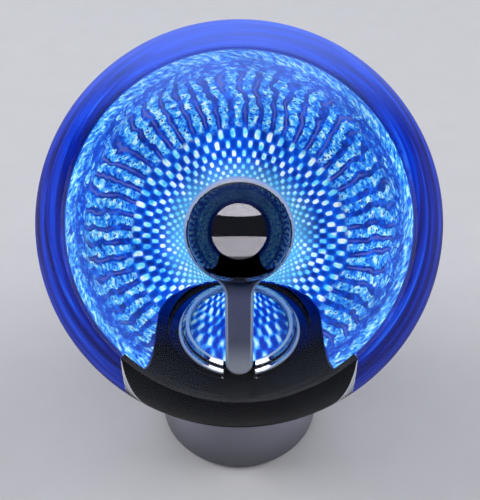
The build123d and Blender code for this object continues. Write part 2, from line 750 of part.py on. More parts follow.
with BuildPart() as power_transistor:
    with BuildSketch(Plane.YZ.offset(HEATSINK_X - 0.8)):
        with Locations((0, BOARD_TOP_Z + 13.0)):
            Rectangle(10.0, 15.6)
            with Locations((0, 5.0)):
                Circle(1.7, mode=Mode.SUBTRACT)
    extrude(amount=-1.2)
    with BuildSketch(Plane.YZ.offset(HEATSINK_X - 2.0)):
        with Locations((0, BOARD_TOP_Z + 9.8)):
            Rectangle(10.0, 9.2)
    extrude(amount=-3.0)
    with BuildSketch(Plane.XY.offset(BOARD_TOP_Z)):
        with Locations((HEATSINK_X - 3.2, 0)):
            with GridLocations(0, 2.54, 1, 3):
                Rectangle(0.6, 0.8)
    extrude(amount=6.0)
write(power_transistor, "power_transistor")

with BuildPart() as capacitors:
    with BuildSketch(Plane.XY.offset(BOARD_TOP_Z)):
        with Locations((-10.0, 14.0), (0.5, 14.0)):
            Circle(4.2)
    extrude(amount=13.0)
    with BuildSketch(Plane.XY.offset(BOARD_TOP_Z)):
        with Locations((11.5, 13.5)):
            RectangleRounded(9.0, 5.0, 0.8)
    extrude(amount=10.0)
write(capacitors, "capacitors")

with BuildPart() as control_chip:
    with BuildSketch(Plane.XY.offset(BOARD_TOP_Z + 0.8)):
        with Locations((5.0, -13.5)):
            Rectangle(9.6, 6.4)
    extrude(amount=3.3)
    with BuildSketch(Plane.XY.offset(BOARD_TOP_Z)):
        with Locations((5.0, -13.5)):
            with GridLocations(2.54, 7.2, 4, 2):
                Rectangle(0.6, 0.9)
    extrude(amount=3.0)
write(control_chip, "control_chip")

with BuildPart() as microphone:
    with BuildSketch(Plane.XY.offset(BOARD_TOP_Z)):
        with Locations((-9.0, -13.0)):
            Circle(4.8)
    extrude(amount=6.5)
    chamfer(microphone.edges().group_by(Axis.Z)[-1], 0.5)
    with BuildSketch(Plane.XY.offset(BOARD_TOP_Z + 6.5)):
        with Locations((-9.0, -13.0)):
            Circle(1.2)
    extrude(amount=-1.0, mode=Mode.SUBTRACT)
write(microphone, "microphone")

# --- Rear panel and controls ------------------------------------------------------------------------

with BuildPart() as rear_panel:
    with BuildSketch(rear_plane(PANEL_STEP_Y)):
        with Locations((0, (PANEL_LOW_Z + PANEL_HIGH_Z) / 2)):
            Rectangle(2 * PANEL_HALF_W, PANEL_HIGH_Z - PANEL_LOW_Z)
    extrude(amount=PANEL_FRONT_Y - PANEL_STEP_Y)
    with BuildSketch(rear_plane(PANEL_BACK_Y)):
        with Locations((0, (PANEL_LOW_Z + PANEL_HIGH_Z) / 2)):
            Rectangle(
                2 * (PANEL_HALF_W + PANEL_FLANGE),
                PANEL_HIGH_Z - PANEL_LOW_Z + 2 * PANEL_FLANGE,
            )
    extrude(amount=PANEL_STEP_Y - PANEL_BACK_Y)
    with BuildSketch(rear_plane(PANEL_BACK_Y)):
        with Locations((-JACK_X, CONTROL_Z)):
            Circle(JACK_SNOUT_R + 0.15)
        with Locations((-SWITCH_X, CONTROL_Z)):
            Rectangle(8.6, 3.6)
        with Locations((-KNOB_X, CONTROL_Z)):
            Circle(BUSH_R + 0.15)
    extrude(amount=PANEL_FRONT_Y, mode=Mode.SUBTRACT)
write(rear_panel, "rear_panel")

with BuildPart() as dc_jack:
    with BuildSketch(rear_plane(PANEL_BACK_Y - 11.0)):
        with Locations((-JACK_X, CONTROL_Z)):
            Rectangle(9.0, 10.0)
    extrude(amount=11.0)
    with BuildSketch(rear_plane(PANEL_BACK_Y)):
        with Locations((-JACK_X, CONTROL_Z)):
            Circle(JACK_SNOUT_R)
    extrude(amount=PANEL_FRONT_Y - PANEL_BACK_Y)
    with BuildSketch(rear_plane(PANEL_FRONT_Y)):
        with Locations((-JACK_X, CONTROL_Z)):
            Circle(JACK_BORE_R)
    extrude(amount=-JACK_BORE_DEPTH, mode=Mode.SUBTRACT)
    with BuildSketch(rear_plane(PANEL_FRONT_Y)):
        with Locations((-JACK_X, CONTROL_Z)):
            Circle(JACK_PIN_R)
    extrude(amount=-JACK_BORE_DEPTH - 3.0, mode=Mode.SUBTRACT)
write(dc_jack, "dc_jack")

with BuildPart() as dc_jack_pin:
    with BuildSketch(rear_plane(PANEL_FRONT_Y - JACK_BORE_DEPTH - 3.0)):
        with Locations((-JACK_X, CONTROL_Z)):
            Circle(JACK_PIN_R)
    extrude(amount=JACK_BORE_DEPTH + 2.0)
    fillet(dc_jack_pin.edges().group_by(Axis.Y)[-1], 0.4)
write(dc_jack_pin, "dc_jack_pin")

with BuildPart() as mode_switch_body:
    with BuildSketch(rear_plane(PANEL_BACK_Y - 6.0)):
        with Locations((-SWITCH_X, CONTROL_Z)):
            Rectangle(12.0, 6.6)
    extrude(amount=6.0)
    with BuildSketch(rear_plane(PANEL_BACK_Y)):
        with Locations((-SWITCH_X, CONTROL_Z)):
            Rectangle(8.2, 3.0)
    extrude(amount=-4.0, mode=Mode.SUBTRACT)
    with BuildSketch(rear_plane(PANEL_BACK_Y - 6.0)):
        with Locations((-SWITCH_X, CONTROL_Z)):
            with GridLocations(2.5, 3.0, 4, 2):
                Rectangle(0.8, 0.4)
    extrude(amount=-3.0)
write(mode_switch_body, "mode_switch_body")

with BuildPart() as mode_switch_slider:
    with BuildSketch(rear_plane(PANEL_BACK_Y - 3.8)):
        with Locations((-SWITCH_X, CONTROL_Z)):
            Rectangle(2 * NUB_HALF_W, 2 * NUB_HALF_H)
    extrude(amount=PANEL_FRONT_Y + 2.6 - PANEL_BACK_Y + 3.8)
    with BuildSketch(rear_plane(PANEL_FRONT_Y + 1.9)):
        with Locations((-SWITCH_X, CONTROL_Z)):
            with GridLocations(1.2, 0, 3, 1):
                Rectangle(0.45, 2 * NUB_HALF_H)
    extrude(amount=2.0, mode=Mode.SUBTRACT)
write(mode_switch_slider, "mode_switch_slider")

with BuildPart() as sensitivity_pot:
    with BuildSketch(rear_plane(PANEL_BACK_Y - 7.5)):
        with Locations((-KNOB_X, CONTROL_Z)):
            Rectangle(11.0, 11.0)
    extrude(amount=7.5)
    with BuildSketch(rear_plane(PANEL_BACK_Y)):
        with Locations((-KNOB_X, CONTROL_Z)):
            Circle(BUSH_R)
    extrude(amount=PANEL_FRONT_Y + 2.2 - PANEL_BACK_Y)
    with BuildSketch(rear_plane(PANEL_FRONT_Y + 2.2)):
        with Locations((-KNOB_X, CONTROL_Z)):
            Circle(SHAFT_R + 0.05)
    extrude(amount=-8.0, mode=Mode.SUBTRACT)
write(sensitivity_pot, "sensitivity_pot")

with BuildPart() as pot_nut:
    with BuildSketch(rear_plane(PANEL_FRONT_Y)):
        with Locations((-KNOB_X, CONTROL_Z)):
            RegularPolygon(5.4, 6, major_radius=False)
            Circle(BUSH_R, mode=Mode.SUBTRACT)
    extrude(amount=1.8)
write(pot_nut, "pot_nut")

with BuildPart() as pot_shaft:
    with BuildSketch(rear_plane(PANEL_FRONT_Y - 5.6)):
        with Locations((-KNOB_X, CONTROL_Z)):
            Circle(SHAFT_R)
    extrude(amount=KNOB_HIGH_Y - 1.6 - PANEL_FRONT_Y + 5.6)
write(pot_shaft, "pot_shaft")

with BuildPart() as sensitivity_knob:
    with BuildSketch(rear_plane(KNOB_LOW_Y)):
        with Locations((-KNOB_X, CONTROL_Z)):
            Circle(KNOB_R)
    extrude(amount=KNOB_HIGH_Y - KNOB_LOW_Y, taper=3)
    fillet(sensitivity_knob.edges().group_by(Axis.Y)[-1], 0.8)
    with BuildSketch(rear_plane(KNOB_LOW_Y)):
        with Locations((-KNOB_X, CONTROL_Z)):
            with PolarLocations(KNOB_R + 0.35, 24):
                Circle(0.55)
    extrude(amount=KNOB_HIGH_Y - KNOB_LOW_Y - 1.0, mode=Mode.SUBTRACT)
    with BuildSketch(rear_plane(KNOB_LOW_Y)):
        with Locations((-KNOB_X, CONTROL_Z)):
            Circle(SHAFT_R)
    extrude(amount=KNOB_HIGH_Y - 1.6 - KNOB_LOW_Y, mode=Mode.SUBTRACT)
    with BuildSketch(rear_plane(KNOB_HIGH_Y)):
        with Locations((-KNOB_X, CONTROL_Z + 3.2)):
            Rectangle(0.8, 4.0)
    extrude(amount=-0.5, mode=Mode.SUBTRACT)
write(sensitivity_knob, "sensitivity_knob")

# --- Leads ---------------------------------------------------------------------------------------------

hv_lead = lead(
    [
        (SPOOL_X, -SPOOL_FLANGE_R + 0.7, HV_EXIT_Z),
        (SPOOL_X, -20.0, HV_EXIT_Z),
        (0.0, ARM_FOOT[1] + 6.4, 38.0),
        (0.0, ARM_FOOT[1] + 6.4, PIN_LOW_Z + 3.2),
    ],
    [4.0, 3.0],
    HV_LEAD_R,
)
write(hv_lead, "hv_lead")

with BuildPart() as dc_leads:
    for side in (-1, 1):
        x = JACK_X + side * 2.5
        with BuildLine() as route:
            FilletPolyline(
                (x, PANEL_BACK_Y - 11.0, CONTROL_Z),
                (x, 22.0, CONTROL_Z),
                (x + side * 2.0, 17.0, BOARD_TOP_Z + 4.0),
                (x + side * 2.0, 17.0, BOARD_TOP_Z),
                radius=[2.0, 1.5],
            )
        with BuildSketch(Plane(origin=route.line @ 0, z_dir=route.line % 0)):
            Circle(0.8)
        sweep(path=route.line)
write(dc_leads, "dc_leads")

with BuildPart() as led_leads:
    for x, y in LED_WIRE_SPOTS:
        with BuildLine() as route:
            FilletPolyline(
                (x, y, LED_BOARD_Z),
                (x, y, 50.0),
                (x * 1.3, y - 2.5, 38.0),
                (x * 1.3, y - 2.5, BOARD_TOP_Z),
                radius=[8.0, 8.0],
            )
        with BuildSketch(Plane(origin=route.line @ 0, z_dir=route.line % 0)):
            Circle(0.8)
        sweep(path=route.line)
write(led_leads, "led_leads")
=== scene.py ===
"""Looks for the plasma ball: clear globe, blue lattice bowl, polished electrode and ring, frosted base."""

import json
import math

import bmesh
import bpy
import numpy as np
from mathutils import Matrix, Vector


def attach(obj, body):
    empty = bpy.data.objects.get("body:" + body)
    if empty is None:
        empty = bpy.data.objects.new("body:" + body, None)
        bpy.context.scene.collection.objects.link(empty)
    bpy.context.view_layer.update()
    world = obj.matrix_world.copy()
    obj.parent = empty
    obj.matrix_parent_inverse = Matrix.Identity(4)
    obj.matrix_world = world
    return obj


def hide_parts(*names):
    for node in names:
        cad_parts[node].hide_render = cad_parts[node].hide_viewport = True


bpy.ops.wm.read_factory_settings(use_empty=True)

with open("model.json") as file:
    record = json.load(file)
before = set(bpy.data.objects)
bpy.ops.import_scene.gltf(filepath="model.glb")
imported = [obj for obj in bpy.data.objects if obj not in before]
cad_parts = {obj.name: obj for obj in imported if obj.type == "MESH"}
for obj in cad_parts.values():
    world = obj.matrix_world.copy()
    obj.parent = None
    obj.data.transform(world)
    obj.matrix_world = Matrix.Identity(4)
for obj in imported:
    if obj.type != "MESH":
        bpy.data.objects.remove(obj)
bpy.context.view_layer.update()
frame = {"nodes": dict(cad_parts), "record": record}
NODES = frame["nodes"]
SCENE = bpy.context.scene
MAIN = "globe_and_base"  # the body that all the finer pieces ride on

# ---------------------------------------------------------------- sizes, in metres
CENTRE = Vector((0.0, 0.0, 0.150))
GLOBE_R, GLOBE_INNER_R = 0.100, 0.0892
MOUTH_Z, MOUTH_R = 0.065, 0.0424
BOWL_OUT_R, BOWL_IN_R = 0.08923, 0.0884
BOWL_TILT, BOWL_FORWARD = math.radians(41), 0.0520
FACING = Vector((0.0, -math.cos(BOWL_TILT), math.sin(BOWL_TILT)))  # out of the bowl's front opening
CUT_HALF_W, CUT_BACK = 0.0485, 0.0388
PATTERN_TILT, RIM_TILT = math.radians(46.5), math.radians(41)
LATTICE_ROUND, RELIEF = 52, 0.0011  # cells round the bowl, and how high they stand
LAST_ANGLE = 134  # degrees from the pattern's pole to which the cup is made before it is cut
ARM_FOOT, BALL_CENTRE = (0.0, -0.0344, 0.0751), (0.0, -0.0018, 0.1472)
BALL_R, HEAD_R, NECK_R = 0.0262, 0.0282, 0.012
ARM_HALF_W, ARM_HALF_T, ARM_TOE, ARM_EDGE_R = 0.0075, 0.0035, 0.004, 0.0018
BLEND = 0.006  # how softly the ball flows into the bar


# ---------------------------------------------------------------- node helpers
class Tree:
    """Small helper round one material's node tree."""

    def __init__(self, name):
        self.mat = bpy.data.materials.new(name)
        self.mat.use_nodes = True
        self.nt = self.mat.node_tree
        self.nt.nodes.clear()
        self.out = self.nt.nodes.new("ShaderNodeOutputMaterial")

    def node(self, kind, **props):
        made = self.nt.nodes.new(kind)
        for key, value in props.items():
            setattr(made, key, value)
        return made

    def put(self, socket, value):
        if isinstance(value, bpy.types.NodeSocket):
            self.nt.links.new(value, socket)
        else:
            socket.default_value = value

    def math(self, op, a, b=None, c=None, clamp=False):
        made = self.node("ShaderNodeMath", operation=op, use_clamp=clamp)
        for socket, value in zip(made.inputs, (a, b, c)):
            if value is not None:
                self.put(socket, value)
        return made.outputs[0]

    def dot(self, vector, axis):
        made = self.node("ShaderNodeVectorMath", operation="DOT_PRODUCT")
        self.put(made.inputs[0], vector)
        made.inputs[1].default_value = tuple(axis)
        return made.outputs["Value"]

    def vec(self, op, a, b):
        made = self.node("ShaderNodeVectorMath", operation=op)
        self.put(made.inputs[0], a)
        self.put(made.inputs[1], b)
        return made.outputs["Vector"]

    def combine(self, x, y, z):
        made = self.node("ShaderNodeCombineXYZ")
        for socket, value in zip(made.inputs, (x, y, z)):
            self.put(socket, value)
        return made.outputs[0]

    def unit(self, vector):
        made = self.node("ShaderNodeVectorMath", operation="NORMALIZE")
        self.put(made.inputs[0], vector)
        return made.outputs["Vector"]

    def coords(self):
        return self.node("ShaderNodeTexCoord").outputs["Object"]

    def noise(self, scale, detail=3.0, rough=0.5, vector=None, distort=0.0):
        made = self.node("ShaderNodeTexNoise")
        made.inputs["Scale"].default_value = scale
        made.inputs["Detail"].default_value = detail
        made.inputs["Roughness"].default_value = rough
        made.inputs["Distortion"].default_value = distort
        self.put(made.inputs["Vector"], vector or self.coords())
        return made.outputs["Fac"]

    def voronoi(self, scale, vector=None, feature="F1", out="Distance"):
        made = self.node("ShaderNodeTexVoronoi", feature=feature)
        made.inputs["Scale"].default_value = scale
        self.put(made.inputs["Vector"], vector or self.coords())
        return made.outputs[out]

    def span(self, value, low, high, to_low=0.0, to_high=1.0, smooth=True):
        made = self.node("ShaderNodeMapRange")
        made.interpolation_type = "SMOOTHSTEP" if smooth else "LINEAR"
        for name, v in (
            ("From Min", low),
            ("From Max", high),
            ("To Min", to_low),
            ("To Max", to_high),
        ):
            made.inputs[name].default_value = v
        self.put(made.inputs["Value"], value)
        return made.outputs[0]

    def ramp(self, fac, stops):
        made = self.node("ShaderNodeValToRGB")
        elements = made.color_ramp.elements
        while len(elements) < len(stops):
            elements.new(0.5)
        for element, (pos, colour) in zip(elements, stops):
            element.position = pos
            element.color = (*colour, 1.0)
        self.put(made.inputs["Fac"], fac)
        return made.outputs["Color"]

    def mix(self, fac, a, b):
        made = self.node("ShaderNodeMix", data_type="RGBA")
        self.put(made.inputs["Factor"], fac)
        for socket, value in ((made.inputs[6], a), (made.inputs[7], b)):
            self.put(socket, (*value, 1.0) if isinstance(value, tuple) and len(value) == 3 else value)
        return made.outputs[2]

    def bump(self, height, strength, distance):
        made = self.node("ShaderNodeBump")
        made.inputs["Strength"].default_value = strength
        made.inputs["Distance"].default_value = distance
        self.put(made.inputs["Height"], height)
        return made.outputs["Normal"]

    def swing(self, gain, scale, detail, rough, vector, middle=0.5):
        """Noise that swings to both sides of zero."""
        noise = self.noise(scale, detail, rough, vector)
        return self.math("MULTIPLY", self.math("SUBTRACT", noise, middle), gain)

    def off_z_axis(self, vector):
        """How far a point is from the upright axis."""
        flat = self.vec("MULTIPLY", vector, (1.0, 1.0, 0.0))
        return self.math("SQRT", self.dot(self.vec("MULTIPLY", flat, flat), (1.0, 1.0, 1.0)))

    def principled(self, **values):
        made = self.node("ShaderNodeBsdfPrincipled")
        for key, value in values.items():
            name = key.replace("_", " ")
            if isinstance(value, tuple) and len(value) == 3 and name != "Normal":
                value = (*value, 1.0)
            self.put(made.inputs[name], value)
        return made

    def finish(self, shader):
        self.nt.links.new(shader.outputs[0], self.out.inputs["Surface"])
        return self.mat


def surface(name, base, rough, metal=0.0, vary=0.12, rough_vary=0.08, grain=900.0, bump=0.15, depth=2e-5,
            coat=0.0):
    """A plain finish with colour drift, uneven gloss and fine grain."""
    t = Tree(name)
    drift = t.noise(38.0, 4.0, 0.6)
    fine = t.noise(grain, 3.0, 0.6)
    dark = tuple(c * (1 - vary) for c in base)
    light = tuple(min(1.0, c * (1 + vary)) for c in base)
    colour = t.ramp(drift, [(0.3, dark), (0.7, light)])
    roughness = t.span(t.math("ADD", drift, t.math("MULTIPLY", fine, 0.5)), 0.4, 1.1,
                       max(0.02, rough - rough_vary), rough + rough_vary, smooth=False)
    return t.finish(t.principled(Base_Color=colour, Metallic=metal, Roughness=roughness,
                                 Coat_Weight=coat, Coat_Roughness=0.05,
                                 Normal=t.bump(fine, bump, depth)))


# ---------------------------------------------------------------- glass
def glass(name, colour, ior=1.5, gloss=0.15):
    """Clear glass that lets the lamps' light straight through, so what is inside is lit.

    It mirrors only the gloss share of what bare glass would, but everything where no light gets out."""
    t = Tree(name)
    smear = t.noise(14.0, 5.0, 0.65, distort=0.6)
    through = t.node("ShaderNodeBsdfRefraction")
    through.inputs["Color"].default_value = (*colour, 1.0)
    through.inputs["IOR"].default_value = ior
    through.inputs["Roughness"].default_value = 0.0
    mirror = t.node("ShaderNodeBsdfAnisotropic")
    mirror.inputs["Color"].default_value = (*colour, 1.0)
    t.put(mirror.inputs["Roughness"], t.span(smear, 0.5, 0.8, 0.0, 0.006))
    fresnel = t.node("ShaderNodeFresnel")
    fresnel.inputs["IOR"].default_value = ior
    mirrored = fresnel.outputs[0]
    shut_in = t.math("GREATER_THAN", mirrored, 0.98)
    share = t.math("ADD", t.math("MULTIPLY", mirrored, gloss), t.math("MULTIPLY", shut_in, 1.0 - gloss))
    body = t.node("ShaderNodeMixShader")
    t.put(body.inputs[0], share)
    t.nt.links.new(through.outputs[0], body.inputs[1])
    t.nt.links.new(mirror.outputs[0], body.inputs[2])
    clear = t.node("ShaderNodeBsdfTransparent")
    clear.inputs[0].default_value = (*(c * 0.97 for c in colour), 1.0)
    path = t.node("ShaderNodeLightPath")
    mixed = t.node("ShaderNodeMixShader")
    lets_by = t.math("MAXIMUM", path.outputs["Is Shadow Ray"], path.outputs["Is Diffuse Ray"])
    t.nt.links.new(lets_by, mixed.inputs[0])
    t.nt.links.new(body.outputs[0], mixed.inputs[1])
    t.nt.links.new(clear.outputs[0], mixed.inputs[2])
    return t.finish(mixed)


# ---------------------------------------------------------------- lattice
POLE = Vector((0.0, math.cos(PATTERN_TILT), -math.sin(PATTERN_TILT)))
SIDE = Vector((1.0, 0.0, 0.0))
UP = POLE.cross(SIDE) * -1.0
RIM_POLE = Vector((0.0, math.cos(RIM_TILT), -math.sin(RIM_TILT)))
ROW_START, ROW_RATE = 19.2, 4.6  # degrees from the pole where rows crowd, and how fast they open
DEGREES = 180 / math.pi


def polar(t, p):
    """Turn about the lattice's pole, from -0.5 to 0.5, and degrees away from the pole."""
    a, b, c = t.dot(p, SIDE), t.dot(p, UP), t.dot(p, POLE)
    turn = t.math("DIVIDE", t.math("ARCTAN2", a, b), 2 * math.pi)
    off_axis = t.math("SQRT", t.math("ADD", t.math("MULTIPLY", a, a), t.math("MULTIPLY", b, b)))
    return turn, t.math("MULTIPLY", t.math("ARCTAN2", off_axis, c), DEGREES)


def cell_zone(t, p, across, along, angle):
    """Bright cells on deep blue, their outline ragged where they grow."""
    rag = t.swing(t.span(angle, 26.0, 47.0, 0.1, 0.75), 190.0, 2.0, 0.6, p)
    cell = t.math("ADD", t.math("MULTIPLY", across, along), rag)
    cell = t.math("ADD", cell, t.swing(0.9, 60.0, 2.0, 0.5, p, middle=0.55))
    light = t.ramp(t.noise(120.0, 2.0, 0.6, p),
                   [(0.3, (0.03, 0.4, 1.0)), (0.46, (0.2, 0.82, 1.0)), (0.6, (0.85, 1.0, 1.0))])
    deep = t.ramp(t.noise(42.0, 3.0, 0.6, p),
                  [(0.35, (0.0, 0.012, 0.22)), (0.6, (0.0, 0.055, 0.55)), (0.8, (0.0, 0.16, 0.9))])
    ground = t.mix(t.span(cell, -0.55, 0.22), deep, (0.0, 0.13, 0.85))
    return t.mix(t.span(cell, 0.1, 0.48), ground, light)


def rib_zone(t, p, around, across, angle):
    """Light ribs with dark specks, between dark ribs with a mauve core."""
    speck_v = t.combine(t.math("MULTIPLY", around, 3.0), t.math("MULTIPLY", angle, 0.62), 0.0)
    specks = t.span(t.voronoi(1.0, speck_v), 0.2, 0.36)
    light = t.ramp(t.noise(210.0, 4.0, 0.75, p),
                   [(0.36, (0.0, 0.06, 0.6)), (0.46, (0.02, 0.25, 0.95)),
                    (0.54, (0.12, 0.6, 1.0)), (0.62, (0.7, 1.0, 1.0))])
    light = t.mix(specks, (0.0, 0.03, 0.42), light)
    gap = t.ramp(t.noise(130.0, 3.0, 0.65, p),
                 [(0.38, (0.0, 0.01, 0.2)), (0.52, (0.0, 0.03, 0.42)), (0.64, (0.0, 0.12, 0.85))])
    middle = t.span(across, -0.99, -0.85, 1.0, 0.0)
    mauve = t.math("MULTIPLY", middle, t.span(t.noise(38.0, 2.0, 0.5, p), 0.4, 0.58))
    dark = t.mix(mauve, gap, (0.09, 0.11, 0.45))
    rough_edge = t.math("ADD", across, t.swing(2.1, 230.0, 3.0, 0.7, p))
    return t.mix(t.span(rough_edge, -0.45, 0.15), dark, light)


def net_zone(t, p, around, angle):
    """A broken net of deep blue lines round mottled patches."""
    net_v = t.combine(t.math("MULTIPLY", around, 1.5), t.math("MULTIPLY", angle, 0.3), 0.0)
    net = t.voronoi(1.0, net_v, feature="DISTANCE_TO_EDGE")
    patches = t.ramp(t.noise(110.0, 4.0, 0.75, p, 0.8),
                     [(0.38, (0.0, 0.012, 0.28)), (0.48, (0.01, 0.09, 0.7)),
                      (0.55, (0.05, 0.36, 1.0)), (0.64, (0.4, 0.9, 1.0))])
    return t.mix(t.span(net, 0.03, 0.14), (0.0, 0.04, 0.5), patches)


def streak_zone(t, turn, angle):
    """The bright edge band with slanting streaks."""
    slant = t.math("ADD", t.math("MULTIPLY", turn, 140.0), t.math("MULTIPLY", angle, 0.16))
    streaks = t.noise(1.2, 5.0, 0.68, t.combine(slant, t.math("MULTIPLY", angle, 0.17), 0.0), 0.5)
    return t.ramp(streaks, [(0.38, (0.0, 0.03, 0.5)), (0.46, (0.01, 0.16, 0.9)),
                            (0.53, (0.08, 0.55, 1.0)), (0.62, (0.6, 1.0, 1.0))])


def lattice_material():
    """The glowing lattice: cells, ribs, net and streaks follow one another outwards from the pole."""
    t = Tree("lattice_glow")
    p = t.vec("SUBTRACT", t.coords(), tuple(CENTRE))
    turn, angle = polar(t, p)
    rim = t.math("MULTIPLY", t.math("ARCCOSINE", t.dot(t.unit(p), RIM_POLE)), DEGREES)

    # a slow drift bends the ribs, most of all away from the pole
    drift = t.math("ADD", t.swing(3.4, 13.0, 2.0, 0.5, p), t.swing(1.5, 75.0, 2.0, 0.5, p))
    bend = t.math("MULTIPLY", drift, t.span(angle, 40.0, 80.0))
    around = t.math("ADD", t.math("MULTIPLY", turn, float(LATTICE_ROUND)), bend)
    opened = t.math("MAXIMUM", t.math("SUBTRACT", angle, ROW_START), 0.8)
    rows = t.math("MULTIPLY", ROW_RATE, t.math("LOGARITHM", opened, math.e))
    across = t.math("COSINE", t.math("MULTIPLY", around, 2 * math.pi))
    along = t.math("COSINE", t.math("MULTIPLY", rows, math.pi))

    # where one zone gives way to the next, in degrees from the pole or from the rim's axis
    wobble = t.swing(14.0, 48.0, 3.0, 0.6, p)
    from_pole, from_rim_axis = t.math("ADD", angle, wobble), t.math("ADD", rim, wobble)
    colour = t.mix(t.span(from_pole, 46.0, 50.0), cell_zone(t, p, across, along, angle),
                   rib_zone(t, p, around, across, angle))
    colour = t.mix(t.span(from_rim_axis, 73.0, 79.0), colour, net_zone(t, p, around, angle))
    colour = t.mix(t.span(from_rim_axis, 84.0, 89.0), colour, streak_zone(t, turn, angle))
    colour = t.mix(t.span(rim, 112.0, 120.0), colour, (0.0, 0.03, 0.3))

    # painted light: a lilac haze over the top in place of a reflection there, and a painted pool of brighter
    # light close to the pole
    top = t.span(t.dot(p, (0.0, 0.5, 0.866)), 0.045, 0.084)
    colour = t.mix(t.math("MULTIPLY", top, 0.38), colour, (0.17, 0.27, 0.8))
    near = t.span(angle, 22.0, 36.0, 1.0, 0.0)
    colour = t.mix(t.math("MULTIPLY", near, 0.42), colour, (0.25, 0.85, 1.0))

    level = t.span(t.noise(22.0, 2.0, 0.5, p), 0.3, 0.7, 0.8, 1.12)
    shader = t.principled(Base_Color=(0.003, 0.012, 0.09), Metallic=0.0, Roughness=0.35,
                          Emission_Color=colour, Emission_Strength=level)
    return t.finish(shader)


def backing_material():
    """The bowl's outside: blue metallised film with faint streaks that glows faintly, with a painted lilac
    sheen towards the top, where the glow is also stronger.
    """
    t = Tree("bowl_backing")
    p = t.vec("SUBTRACT", t.coords(), tuple(CENTRE))
    turn, angle = polar(t, p)
    along = t.combine(t.math("MULTIPLY", turn, 7.0), t.math("MULTIPLY", angle, 0.22), 0.0)
    streak = t.noise(1.0, 5.0, 0.62, along, 0.5)
    drift = t.noise(26.0, 4.0, 0.6, p)
    base = t.ramp(streak, [(0.36, (0.0, 0.003, 0.08)), (0.5, (0.0, 0.01, 0.26)),
                           (0.62, (0.0, 0.04, 0.55)), (0.72, (0.02, 0.14, 0.85))])
    # Painted sheen: the top turns lilac and glows brighter, standing in for light caught there.
    high = t.span(t.dot(p, (0.0, 0.66, 0.75)), 0.03, 0.085)
    colour = t.mix(t.math("MULTIPLY", high, 0.6), base, (0.1, 0.17, 0.66))
    return t.finish(t.principled(Base_Color=colour, Metallic=0.0, Specular_IOR_Level=0.2,
                                 Roughness=t.span(drift, 0.3, 0.7, 0.3, 0.45), Emission_Color=colour,
                                 Emission_Strength=t.span(high, 0.0, 1.0, 0.3, 0.6),
                                 Normal=t.bump(streak, 0.2, 2e-4)))


def mesh_object(name, verts, faces, material):
    me = bpy.data.meshes.new(name)
    me.from_pydata([tuple(map(float, v)) for v in verts], [], faces)
    me.update()
    me.shade_smooth()
    me.materials.append(material)
    ob = bpy.data.objects.new(name, me)
    SCENE.collection.objects.link(ob)
    return ob


def grid_faces(rows, cols, wrap=True):
    """Faces of a grid of points kept row by row, closed on itself if wrap."""
    faces = []
    for r in range(rows - 1):
        for c in range(cols if wrap else cols - 1):
            d = (c + 1) % cols
            faces.append((r * cols + c, r * cols + d, (r + 1) * cols + d, (r + 1) * cols + c))
    return faces


def lattice_height(turn, angle):
    """Relief of the bowl's inside, 0 to 1, from the turn about the pole and the angle from it in degrees."""
    around = LATTICE_ROUND * turn
    reach = np.clip((angle - 36) / 39, 0, 1)
    around = around + 0.35 * reach * np.sin(2 * np.pi * turn * 7 + angle * 0.11)
    rows = ROW_RATE * np.log(np.maximum(angle - ROW_START, 0.8))
    across, along = np.cos(2 * np.pi * around), np.cos(np.pi * rows)
    cells = np.clip(0.5 + 0.9 * across * along, 0, 1)
    ribs = 0.5 + 0.5 * across
    spin = 2 * np.pi * turn
    net = 0.5 + 0.25 * (np.sin(spin * 104 + angle * 0.5) + np.sin(spin * 78 - angle * 0.7))
    w1 = np.clip((angle - 46) / 6, 0, 1)
    w2 = np.clip((angle - 72) / 8, 0, 1)
    return (cells * (1 - w1) + ribs * w1) * (1 - w2) + net * w2


def bowl_points(angles, turns, radius):
    """Points of a cup about the pole, one row for each angle from it."""
    aa, tt = np.meshgrid(np.radians(angles), 2 * np.pi * turns, indexing="ij")
    r = radius[..., None] if isinstance(radius, np.ndarray) else radius
    level = np.sin(tt)[..., None] * np.array(SIDE) + np.cos(tt)[..., None] * np.array(UP)
    d = np.sin(aa)[..., None] * level + np.cos(aa)[..., None] * np.array(POLE)
    return (np.array(CENTRE) + r * d).reshape(-1, 3)


def with_corners(faces):
    """The faces with their edges and points, as bisect_plane wants them."""
    return list({v for f in faces for v in f.verts}) + list({e for f in faces for e in f.edges}) + faces


